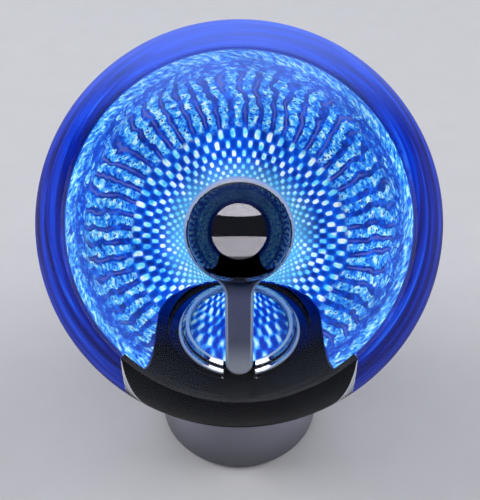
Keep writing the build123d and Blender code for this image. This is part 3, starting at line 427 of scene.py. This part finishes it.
def cut_to_bowl(ob):
    """Trims a full cup to the bowl's outline: the tilted rim plane and the horseshoe round the ring."""
    bm = bmesh.new()
    bm.from_mesh(ob.data)
    geom = bm.verts[:] + bm.edges[:] + bm.faces[:]
    bmesh.ops.bisect_plane(bm, geom=geom, plane_co=CENTRE + FACING * BOWL_FORWARD, plane_no=FACING,
                           clear_outer=True, dist=1e-7)
    for x in (-CUT_HALF_W, CUT_HALF_W):
        middles = [(f, f.calc_center_median()) for f in bm.faces]
        near = [f for f, m in middles if m.y < 0.004 and m.z < 0.15]
        bmesh.ops.bisect_plane(bm, geom=with_corners(near), plane_co=(x, 0, 0), plane_no=(1, 0, 0), dist=1e-7)
    steps = 28
    for k in range(steps):
        u, v = math.pi * k / steps, math.pi * (k + 1) / steps
        p = Vector((CUT_HALF_W * math.cos(u), CUT_BACK * math.sin(u), 0))
        q = Vector((CUT_HALF_W * math.cos(v), CUT_BACK * math.sin(v), 0))
        n = Vector((q.y - p.y, p.x - q.x, 0)).normalized()
        middles = [(f, f.calc_center_median()) for f in bm.faces]
        near = [f for f, m in middles if m.z < 0.1 and abs((m - p).dot(n)) < 0.006 and m.y > -0.006]
        bmesh.ops.bisect_plane(bm, geom=with_corners(near), plane_co=p, plane_no=n, dist=1e-7)
    gone = []
    for f in bm.faces:
        m = f.calc_center_median()
        in_arch = (m.x / CUT_HALF_W) ** 2 + (m.y / CUT_BACK) ** 2 < 0.9993
        in_legs = abs(m.x) < CUT_HALF_W and m.y < 0
        if m.z < 0.145 and (in_arch or in_legs):
            gone.append(f)
    bmesh.ops.delete(bm, geom=gone, context="FACES")
    bm.to_mesh(ob.data)
    bm.free()
    ob.data.shade_smooth()
    return ob


def build_bowl():
    """The lattice in relief on the bowl's inside, and the film behind it."""
    cols = LATTICE_ROUND * 7
    turns = np.arange(cols) / cols - 0.5
    crowded = np.geomspace(21.5 - 12, LAST_ANGLE - 12, 190) + 12
    angles = np.concatenate([np.linspace(0.6, 21, 24), crowded])
    aa, tt = np.meshgrid(angles, turns, indexing="ij")
    fade = np.clip((aa - 6) / 12, 0, 1) * np.clip((96 - aa) / 22, 0, 1)
    verts = bowl_points(angles, turns, BOWL_IN_R - lattice_height(tt, aa) * RELIEF * fade)
    faces = grid_faces(len(angles), cols)
    faces.append(tuple(reversed(range(cols))))
    inner = mesh_object("lattice_relief", verts, faces, lattice_material())

    cols = 208
    turns = np.arange(cols) / cols - 0.5
    angles = np.linspace(0.8, LAST_ANGLE, 112)
    verts = bowl_points(angles, turns, BOWL_OUT_R)
    faces = [tuple(reversed(f)) for f in grid_faces(len(angles), cols)]
    faces.append(tuple(range(cols)))
    outer = mesh_object("lattice_backing", verts, faces, backing_material())
    cut_to_bowl(inner)
    cut_to_bowl(outer)
    solid = outer.modifiers.new("thick", "SOLIDIFY")
    solid.thickness, solid.offset = 0.0006, -1.0
    for ob in (inner, outer):
        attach(ob, MAIN)
    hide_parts("lattice_bowl")
    return inner, outer


def build_liner(material):
    """Black film on the wall: fills the bowl's cut-out, from the mouth to the front opening."""
    facing, centre = np.array(FACING), np.array(CENTRE)
    half, deep, low = CUT_HALF_W - 0.0001, CUT_BACK - 0.0002, MOUTH_R + 0.0004

    def point(rho, phi):
        """The wall's point at this distance from the axis, in the direction phi."""
        z = CENTRE.z - math.sqrt(BOWL_OUT_R ** 2 - rho ** 2)
        return np.array((rho * math.cos(phi), rho * math.sin(phi), z))

    def is_behind(rho, phi):
        return np.dot(point(rho, phi) - centre, facing) <= BOWL_FORWARD

    def far(phi):
        """Distance from the axis to the outline in plan, along one direction."""
        c, q = math.cos(phi), math.sin(phi)
        if q >= 0:
            return 1 / math.hypot(c / half, q / deep)
        a, b = low, min(half / max(abs(c), 1e-6), BOWL_OUT_R * 0.999)
        if is_behind(b, phi):
            return b
        for _ in range(40):
            mid = (a + b) / 2
            if is_behind(mid, phi):
                a = mid
            else:
                b = mid
        return a

    start = max(phi for phi in np.linspace(0, math.pi / 2, 400) if far(phi) > low + 0.0002)
    phis = np.linspace(start, -math.pi - start, 240)
    steps = np.linspace(0, 1, 48)
    verts = []
    for phi in phis:
        a, b = math.asin(low / BOWL_OUT_R), math.asin(far(phi) / BOWL_OUT_R)
        verts += [point(BOWL_OUT_R * math.sin(a + (b - a) * k), phi) for k in steps]
    ob = mesh_object("black_film", verts, grid_faces(len(phis), len(steps), wrap=False), material)
    first = ob.data.polygons[0]
    if first.normal.dot(first.center - CENTRE) < 0:
        ob.data.flip_normals()
    solid = ob.modifiers.new("thick", "SOLIDIFY")
    solid.thickness, solid.offset = 0.0012, -1.0
    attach(ob, MAIN)
    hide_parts("black_liner")
    return ob


def build_globe():
    """Thick clear wall with a fire-polished mouth, turned from one profile."""
    out_low = math.asin((MOUTH_Z - CENTRE.z) / GLOBE_R)
    in_low = -math.acos(MOUTH_R / GLOBE_INNER_R)
    top = math.radians(89.3)
    outer = [(GLOBE_R * math.cos(a), CENTRE.z + GLOBE_R * math.sin(a))
             for a in np.linspace(top, out_low, 120)]
    inner = [(GLOBE_INNER_R * math.cos(a), CENTRE.z + GLOBE_INNER_R * math.sin(a))
             for a in np.linspace(in_low, top, 120)]
    (r1, z1), r2 = outer[-1], MOUTH_R
    lip = [(r1 - 0.0010, z1), (r1 - 0.003, z1), (r2 + 0.003, z1), (r2 + 0.0008, z1), (r2, z1 + 0.0008)]
    lip += [(r2, z) for z in np.linspace(z1 + 0.002, inner[0][1] - 0.0006, 4)]
    profile = outer + lip + inner
    cols = 192
    verts = [(0.0, 0.0, CENTRE.z + GLOBE_R)]
    for r, z in profile:
        for k in range(cols):
            a = 2 * math.pi * k / cols
            verts.append((r * math.cos(a), r * math.sin(a), z))
    verts.append((0.0, 0.0, CENTRE.z + GLOBE_INNER_R))
    faces = []
    n = len(profile)
    for k in range(cols):
        d = (k + 1) % cols
        faces.append((0, 1 + k, 1 + d))
        for i in range(n - 1):
            a, b = 1 + i * cols, 1 + (i + 1) * cols
            faces.append((a + k, b + k, b + d, a + d))
        a = 1 + (n - 1) * cols
        faces.append((a + k, len(verts) - 1, a + d))
    ob = mesh_object("clear_globe", verts, faces, glass("globe_glass", (0.985, 0.99, 1.0)))
    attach(ob, MAIN)
    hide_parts("globe")
    return ob


def smooth_max(a, b, width):
    """The larger of the two, rounded where they meet."""
    blend = np.clip(0.5 + 0.5 * (a - b) / width, 0, 1)
    return b + (a - b) * blend + width * blend * (1 - blend)


def build_arm(material, edge_highlight_material):
    """Ball and leaning bar as one flowing shape: a bevelled plate whose middle swells into the ball."""
    foot = np.array(ARM_FOOT)
    rise = np.array(BALL_CENTRE) - foot
    length = float(np.linalg.norm(rise))
    along = rise / length
    front = np.array((0.0, -along[2], along[1]))
    half, head, neck = ARM_HALF_W, HEAD_R, NECK_R
    neck_y = length - math.sqrt((head + neck) ** 2 - (half + neck) ** 2)
    neck_top = length - head * (length - neck_y) / (head + neck)
    toe_y = half - ARM_TOE

    def reach(y):
        """Half width of the outline."""
        if y > neck_top:
            return math.sqrt(max(0.0, head ** 2 - (y - length) ** 2))
        if y > neck_y:
            return half + neck - math.sqrt(neck ** 2 - (y - neck_y) ** 2)
        if y > toe_y:
            return half
        return math.sqrt(max(0.0, half ** 2 - (y - toe_y) ** 2))

    def height(x, y, only_inset=False):
        """Half thickness at a point of the outline's inside, or its distance in from the outline."""
        r = np.hypot(x, y - length)
        bar = np.where(y > toe_y, half - np.abs(x), half - np.hypot(x, y - toe_y))
        inset = np.maximum(head - r, np.where(y > length, -half, bar))
        fillet = np.hypot(np.abs(x) - half - neck, y - neck_y) - neck
        below_line = (y - neck_y) < (length - neck_y) * (half + neck - np.abs(x)) / (half + neck)
        in_neck = (y > neck_y) & (y < neck_top) & below_line
        inset = np.maximum(np.where(in_neck, fillet, inset), 0.0)
        if only_inset:
            return inset
        edge = np.minimum(inset, ARM_EDGE_R)
        plate = ARM_HALF_T - ARM_EDGE_R + np.sqrt(ARM_EDGE_R ** 2 - (ARM_EDGE_R - edge) ** 2)
        dome = np.sqrt(np.maximum(BALL_R ** 2 - r ** 2, 0.0)) - 0.0035 * np.clip((r - BALL_R) / 0.004, 0, 1)
        return smooth_max(plate, dome, BLEND * np.clip(inset / 0.004, 0, 1) + 1e-6)

    ys = np.concatenate([
        toe_y - half * np.cos(np.linspace(0.02, math.pi / 2, 22)),
        np.linspace(toe_y, neck_y, 44)[1:],
        np.linspace(neck_y, neck_top, 24)[1:],
        length - head * np.cos(np.linspace(math.acos((length - neck_top) / head), math.pi - 0.012, 120))[1:],
    ])
    cols = 57
    u = np.linspace(-1, 1, cols)
    spread = np.sin(u * math.pi / 2) * 0.6 + u * 0.4
    rows_front, rows_back = [], []
    for y in ys:
        x = reach(float(y)) * spread
        z = height(x, np.full(cols, float(y)))
        base = foot + along * float(y)
        rows_front.append([base + np.array((a, 0, 0)) + front * b for a, b in zip(x, z)])
        rows_back.append([base + np.array((a, 0, 0)) - front * b for a, b in zip(x, z)])
    n = len(ys)
    verts = [v for row in rows_front for v in row] + [v for row in rows_back for v in row]
    faces = []
    for r in range(n - 1):
        for c in range(cols - 1):
            a = r * cols + c
            faces.append((a, a + 1, a + cols + 1, a + cols))
            b = n * cols + a
            faces.append((b, b + cols, b + cols + 1, b + 1))
    rim = [c for c in range(cols)] + [r * cols + cols - 1 for r in range(1, n)]
    rim += [(n - 1) * cols + c for c in range(cols - 2, -1, -1)] + [r * cols for r in range(n - 2, 0, -1)]
    for a, b in zip(rim, rim[1:] + rim[:1]):
        faces.append((b, a, a + n * cols, b + n * cols))
    ob = mesh_object("electrode_ball_arm", verts, faces, material)
    ob.data.materials.append(edge_highlight_material)
    # The bevel's faces take the second material, the painted edge highlight.
    for poly in ob.data.polygons:
        local = np.array(poly.center) - foot
        x, y = abs(float(local[0])), float(local @ along)
        if float(height(np.array([x]), np.array([y]), True)[0]) < ARM_EDGE_R * 0.9:
            poly.material_index = 1
    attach(ob, MAIN)
    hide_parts("electrode_arm")
    return ob


build_bowl()
build_globe()


# ---------------------------------------------------------------- finishes for the CAD pieces
def chrome(name, base, rough):
    """Mirror polish with a little haze and faint scratches."""
    t = Tree(name)
    haze = t.noise(22.0, 5.0, 0.65, distort=0.4)
    fine = t.noise(700.0, 2.0, 0.5)
    scratch = t.noise(240.0, 2.0, 0.5, t.vec("MULTIPLY", t.coords(), (1.0, 1.0, 14.0)))
    marks = t.span(scratch, 0.68, 0.76)
    colour = t.ramp(haze, [(0.3, tuple(c * 0.9 for c in base)), (0.7, base)])
    roughness = t.math("ADD", t.span(haze, 0.35, 0.75, rough, rough + 0.05), t.math("MULTIPLY", marks, 0.03))
    return t.finish(t.principled(Base_Color=colour, Metallic=1.0, Roughness=roughness,
                                 Normal=t.bump(t.math("ADD", fine, marks), 0.02, 1e-5)))


def ring_polish_painted_crests(name, base, rough):
    """Bright polish with a painted highlight along its two crests: a pale satin line there, in place of the
    light the crests catch.
    """
    t = Tree(name)
    p = t.coords()
    haze = t.noise(22.0, 5.0, 0.65, distort=0.4)
    fine = t.noise(1400.0, 3.0, 0.6)
    r, z = t.off_z_axis(p), t.dot(p, (0.0, 0.0, 1.0))
    # The two crests, where the painted highlight line is laid.
    inner = t.math("MULTIPLY", t.span(r, 0.0293, 0.0299), t.span(r, 0.0311, 0.0319, 1.0, 0.0))
    inner = t.math("MULTIPLY", inner, t.span(z, 0.0736, 0.0742))
    outer = t.math("MULTIPLY", t.span(r, 0.0344, 0.0350), t.span(z, 0.0678, 0.0684))
    painted_crest_highlight = t.math("MULTIPLY", t.math("MAXIMUM", inner, outer), t.span(haze, 0.25, 0.6, 0.75, 1.0))
    colour = t.mix(painted_crest_highlight, t.ramp(haze, [(0.3, tuple(c * 0.9 for c in base)), (0.7, base)]), (0.8, 0.81, 0.84))
    return t.finish(t.principled(Base_Color=colour, Metallic=t.span(painted_crest_highlight, 0.0, 1.0, 1.0, 0.3),
                                 Roughness=t.span(painted_crest_highlight, 0.0, 1.0, rough, 0.25),
                                 Normal=t.bump(fine, 0.04, 1e-5)))


def arm_polish_painted_highlight(name, base, rough):
    """Dark mirror polish on the ball that turns to a duller, lighter satin down the bar, standing in for the
    light the polished bar reflects, with a painted highlight at its foot.
    """
    t = Tree(name)
    p = t.coords()
    haze = t.noise(30.0, 5.0, 0.65, distort=0.4)
    z = t.dot(p, (0.0, 0.0, 1.0))
    bar = t.span(z, 0.114, 0.134, 1.0, 0.0)
    low = t.math("ADD", z, t.math("MULTIPLY", t.math("SUBTRACT", haze, 0.5), 0.006))
    # Painted highlight: a pale patch near the bar's foot, where the polish would reflect a light.
    foot = t.span(low, 0.077, 0.094, 1.0, 0.0)
    mirror = t.ramp(haze, [(0.3, tuple(c * 0.9 for c in base)), (0.7, base)])
    satin = t.ramp(haze, [(0.3, (0.24, 0.24, 0.33)), (0.7, (0.33, 0.33, 0.43))])
    colour = t.mix(bar, mirror, t.mix(foot, satin, (0.9, 0.9, 0.92)))
    roughness = t.math("ADD", t.span(bar, 0.0, 1.0, rough, 0.15), t.span(haze, 0.35, 0.75, 0.0, 0.04))
    return t.finish(t.principled(Base_Color=colour, Metallic=t.span(bar, 0.0, 1.0, 1.0, 0.12),
                                 Roughness=roughness, Normal=t.bump(t.noise(900.0, 3.0, 0.6), 0.03, 1e-5)))


def black_gloss(name):
    """Black gloss with a painted blue glow at the back, standing in for the lattice's blue that it would
    reflect there, but only inside the globe.
    """
    t = Tree(name)
    drift = t.noise(30.0, 4.0, 0.6)
    dust = t.span(t.noise(1500.0, 2.0, 0.5), 0.72, 0.8)
    colour = t.ramp(drift, [(0.3, (0.0007, 0.0009, 0.0026)), (0.7, (0.0012, 0.0018, 0.006))])
    colour = t.mix(t.math("MULTIPLY", dust, 0.008), colour, (0.06, 0.06, 0.07))
    # Painted reflection: the blue glow is kept to the mouth and to everything above z 0.0700, and fades out
    # towards the front.
    in_mouth = t.span(t.off_z_axis(t.coords()), MOUTH_R, MOUTH_R + 0.0003, 1.0, 0.0)
    z = t.dot(t.coords(), (0.0, 0.0, 1.0))
    in_mouth = t.math("MULTIPLY", in_mouth, t.span(z, MOUTH_Z - 0.0015, MOUTH_Z - 0.0005))
    inside = t.math("MAXIMUM", in_mouth, t.span(z, 0.0700, 0.0706))
    painted_blue_glow = t.math("MULTIPLY", t.span(t.dot(t.coords(), (0.0, 1.0, 0.0)), -0.028, 0.05), inside)
    glow = t.ramp(drift, [(0.35, (0.0, 0.006, 0.12)), (0.65, (0.0, 0.03, 0.34))])
    return t.finish(t.principled(Base_Color=colour, Metallic=0.0, Specular_IOR_Level=0.01,
                                 Roughness=t.span(drift, 0.3, 0.7, 0.05, 0.12), Emission_Color=glow,
                                 Emission_Strength=painted_blue_glow, Normal=t.bump(drift, 0.05, 1e-4)))


def frosted_shell(name):
    """Satin grey-lilac shell with painted shade that darkens it towards the foot, and a little wear at the
    lower edge.
    """
    t = Tree(name)
    drift = t.noise(24.0, 4.0, 0.55)
    fine = t.noise(1300.0, 3.0, 0.6)
    height = t.dot(t.coords(), (0.0, 0.0, 1.0))
    # Painted shade: the shell is darkened towards the foot.
    shade = t.span(height, 0.002, 0.045)
    low = t.ramp(drift, [(0.3, (0.07, 0.07, 0.09)), (0.7, (0.1, 0.1, 0.13))])
    high = t.ramp(drift, [(0.3, (0.2, 0.2, 0.27)), (0.7, (0.26, 0.255, 0.34))])
    colour = t.mix(shade, low, high)
    wear = t.span(t.noise(160.0, 4.0, 0.7), 0.5, 0.62)
    wear = t.math("MULTIPLY", t.span(height, 0.0015, 0.0045, 1.0, 0.0), wear)
    colour = t.mix(t.math("MULTIPLY", wear, 0.5), colour, (0.4, 0.4, 0.46))
    return t.finish(t.principled(Base_Color=colour, Roughness=t.span(fine, 0.3, 0.7, 0.36, 0.5),
                                 Coat_Weight=0.25, Coat_Roughness=0.3, Normal=t.bump(fine, 0.2, 3e-5)))


def lamp_window_painted_reflection(name):
    """Blue lamp window that glows, with a painted reflection of the lattice in the glow: rows of long bright
    cells fanning out from behind, over deep blue.
    """
    fan_y = 0.052  # where the rows of cells would meet, behind the window
    t = Tree(name)
    p = t.coords()
    x, y = t.dot(p, (1.0, 0.0, 0.0)), t.dot(p, (0.0, 1.0, 0.0))
    drift = t.math("SUBTRACT", t.noise(55.0, 3.0, 0.6, p), 0.5)
    dy = t.math("SUBTRACT", fan_y, y)
    fan = t.math("ADD", t.math("ARCTAN2", x, dy), t.math("MULTIPLY", drift, 0.05))
    far = t.math("SQRT", t.math("ADD", t.math("MULTIPLY", x, x), t.math("MULTIPLY", dy, dy)))
    rows = t.math("ADD", t.math("MULTIPLY", t.math("LOGARITHM", far, math.e), 7.0), drift)
    cells = t.math("MULTIPLY", t.math("COSINE", t.math("MULTIPLY", fan, 62.0)),
                   t.math("COSINE", t.math("MULTIPLY", rows, math.pi)))
    rags = t.noise(230.0, 3.0, 0.7, t.vec("MULTIPLY", p, (1.0, 0.35, 1.0)))
    glow = t.math("ADD", t.math("MULTIPLY", cells, 0.3), rags)
    colour = t.ramp(glow, [(0.36, (0.0, 0.02, 0.36)), (0.5, (0.0, 0.1, 0.75)),
                           (0.64, (0.08, 0.5, 1.0)), (0.8, (0.6, 0.97, 1.0))])
    side = t.span(t.math("ABSOLUTE", x), 0.016, 0.031, 1.0, 0.3)
    return t.finish(t.principled(Base_Color=(0.01, 0.03, 0.2), Roughness=0.08, Specular_IOR_Level=0.6,
                                 Emission_Color=colour, Emission_Strength=t.math("MULTIPLY", side, 0.95)))


def led_blue(name):
    """A lit blue lamp."""
    t = Tree(name)
    glow = t.noise(180.0, 2.0, 0.5)
    colour = t.ramp(glow, [(0.3, (0.1, 0.35, 1.0)), (0.7, (0.4, 0.8, 1.0))])
    shader = t.principled(Base_Color=colour, Roughness=0.25, Emission_Color=colour, Emission_Strength=2.0)
    return t.finish(shader)


FINISH = {
    "polished_metal": chrome("dark_polish", (0.125, 0.124, 0.14), 0.02),
    "black_gloss": black_gloss("black_gloss_painted_glow_look"),
    "black_matte": surface("black_moulding", (0.022, 0.022, 0.026), 0.5, bump=0.25, depth=4e-5),
    "frosted_shell": frosted_shell("frosted_shell_look"),
    "black_rubber": surface("rubber_look", (0.03, 0.03, 0.033), 0.75, vary=0.2, bump=0.4, depth=5e-5),
    "white_silicone": surface("silicone_look", (0.7, 0.7, 0.69), 0.5),
    "ceramic_white": surface("bead_ceramic", (0.78, 0.77, 0.73), 0.25, coat=0.5),
    "window_glass": lamp_window_painted_reflection("lamp_window_look"),
    "lead_glass": surface("tube_glass", (0.012, 0.013, 0.016), 0.12),
    "lamp_blue": led_blue("lamp_blue_look"),
    "aluminium": surface("satin_aluminium", (0.66, 0.67, 0.69), 0.32, metal=1.0, grain=1500.0),
    "steel": surface("plated_steel", (0.52, 0.52, 0.54), 0.28, metal=1.0, grain=1200.0),
    "brass": surface("nickel_brass", (0.72, 0.55, 0.25), 0.25, metal=1.0, grain=1200.0),
    "board_green": surface("solder_mask_green", (0.02, 0.16, 0.06), 0.35, coat=0.3),
    "board_white": surface("solder_mask_white", (0.75, 0.77, 0.78), 0.4),
    "ferrite": surface("ferrite_look", (0.07, 0.07, 0.08), 0.6, vary=0.25),
    "copper_wire": surface("enamelled_wire", (0.6, 0.25, 0.1), 0.3, metal=0.8, grain=2500.0, bump=0.6,
                           depth=8e-5),
    "component_black": surface("epoxy_black", (0.03, 0.03, 0.032), 0.45),
    "capacitor_sleeve": surface("sleeve_blue", (0.03, 0.05, 0.18), 0.3, coat=0.3),
    "lead_red": surface("lead_insulation", (0.5, 0.04, 0.03), 0.4),
}
# Pale satin on the arm's bevel: a painted highlight, standing in for the bright line the polished edge
# reflects.
painted_edge_highlight = surface("painted_edge_highlight_look", (0.9, 0.9, 0.92), 0.28, vary=0.05, grain=1600.0, bump=0.1)
build_arm(arm_polish_painted_highlight("arm_polish_painted_highlight", (0.1, 0.096, 0.106), 0.02), painted_edge_highlight)
build_liner(FINISH["black_gloss"])
ring_look = ring_polish_painted_crests("ring_polish_painted_crests", (0.36, 0.37, 0.41), 0.03)
slot_of = {s["node"]: s["material_slot"] for s in frame["record"]["subparts"]}
for node, ob in NODES.items():
    look = FINISH.get(slot_of[node])
    if node == "bezel_ring":
        look = ring_look
    if look is not None:
        ob.data.materials.clear()
        ob.data.materials.append(look)

# ---------------------------------------------------------------- studio
ELEVATION, DISTANCE, FOCAL_PX = math.radians(41.0), 0.400, 790.0  # the camera's, about the globe's centre
floor_mat = surface("studio_floor", (0.5, 0.5, 0.52), 0.6, vary=0.02, rough_vary=0.03, grain=60.0, bump=0.02)
floor_pts = []
for y, z in [(-3.0, 0.0), (1.6, 0.0)] + [
    (1.6 + 0.8 * math.sin(a), 0.8 - 0.8 * math.cos(a)) for a in np.linspace(0.1, math.pi / 2, 14)
] + [(2.4, 3.0)]:
    floor_pts += [(-4.0, y, z), (4.0, y, z)]
strips = range(0, len(floor_pts) - 2, 2)
floor = mesh_object("studio_sweep", floor_pts, [(k, k + 1, k + 3, k + 2) for k in strips], floor_mat)

world = bpy.data.worlds.new("studio_world")
SCENE.world = world
world.use_nodes = True
background = world.node_tree.nodes["Background"]
background.inputs["Color"].default_value = (0.70, 0.76, 0.9, 1.0)
background.inputs["Strength"].default_value = 0.12


def softbox(name, place, aim, size, power, colour=(1.0, 1.0, 1.0)):
    data = bpy.data.lights.new(name, "AREA")
    data.shape = "RECTANGLE"
    data.size, data.size_y = size
    data.energy = power
    data.color = colour
    ob = bpy.data.objects.new(name, data)
    SCENE.collection.objects.link(ob)
    ob.location = place
    ob.rotation_mode = "QUATERNION"
    ob.rotation_quaternion = (Vector(aim) - Vector(place)).to_track_quat("-Z", "Y")
    ob.visible_glossy = False
    ob.visible_transmission = False
    return ob


def card(name, up_low, up_high, half_turn, radius, light):
    """A curved reflector: a patch of a big sphere round the globe, within half_turn of the view direction.

    Its angles up from the view direction run from up_low to up_high, in degrees, and its outline is round.
    Only the polished pieces inside the globe mirror it: the globe itself stays clean."""
    view = Vector((0.0, -math.cos(ELEVATION), math.sin(ELEVATION)))
    lift = Vector((0.0, math.sin(ELEVATION), math.cos(ELEVATION)))
    rows, cols = 13, 25
    verts = []
    for r in range(rows):
        up = math.radians(up_low + (up_high - up_low) * r / (rows - 1))
        reach = math.acos(min(1.0, math.cos(math.radians(half_turn)) / max(1e-6, math.cos(up))))
        for c in range(cols):
            side = reach * (2 * c / (cols - 1) - 1)
            level = view * math.cos(side) + SIDE * math.sin(side)
            d = level * math.cos(up) + lift * math.sin(up)
            verts.append(CENTRE + d * radius)
    t = Tree(name + "_light")
    glow = t.node("ShaderNodeEmission")
    glow.inputs["Color"].default_value = (1.0, 0.99, 0.97, 1.0)
    path = t.node("ShaderNodeLightPath")
    mirrored = t.math("GREATER_THAN", path.outputs["Glossy Depth"], 0.5)
    from_inside = t.math("GREATER_THAN", path.outputs["Transmission Depth"], 2.5)
    t.put(glow.inputs["Strength"], t.math("MULTIPLY", t.math("MULTIPLY", mirrored, from_inside), light))
    ob = mesh_object(name, verts, grid_faces(rows, cols, wrap=False), t.finish(glow))
    ob.visible_diffuse = False
    ob.visible_shadow = False
    ob.visible_camera = False
    return ob


card("card_over", 32.0, 75.0, 80.0, 0.75, 5.2)
card("card_front", -54.0, -10.0, 70.0, 0.62, 3.8)
softbox("side_left", (-1.5, 0.2, 1.1), (0, 0.1, 0.05), (1.0, 1.1), 24.0)
softbox("side_right", (1.5, 0.1, 1.0), (0, 0.1, 0.05), (1.0, 1.1), 20.0)
softbox("top_front", (0.0, -0.6, 1.6), (0, 0, 0.05), (1.2, 0.8), 9.0)
softbox("back_top", (0.0, 1.35, 1.2), (0, 0.1, 0.05), (1.4, 0.6), 11.0, (0.88, 0.92, 1.0))

# ---------------------------------------------------------------- camera
cam_data = bpy.data.cameras.new("photo_view")
cam = bpy.data.objects.new("photo_view", cam_data)
SCENE.collection.objects.link(cam)
back = Vector((0.0, -math.cos(ELEVATION), math.sin(ELEVATION)))
cam.location = CENTRE + back * DISTANCE
drop = math.atan(25.0 / FOCAL_PX)
down = Vector((0.0, -math.sin(ELEVATION), -math.cos(ELEVATION)))
aim = CENTRE + down * (DISTANCE * math.tan(drop)) + Vector((0.0004, 0, 0))
cam.rotation_mode = "QUATERNION"
cam.rotation_quaternion = (aim - cam.location).to_track_quat("-Z", "Y")
cam_data.sensor_fit = "VERTICAL"
cam_data.sensor_height = 24.0
cam_data.sensor_width = 24.0
cam_data.lens = 24.0 * FOCAL_PX / 500.0
cam_data.clip_start, cam_data.clip_end = 0.01, 20.0
SCENE.camera = cam
SCENE.view_settings.view_transform = "Standard"
SCENE.view_settings.look = "None"
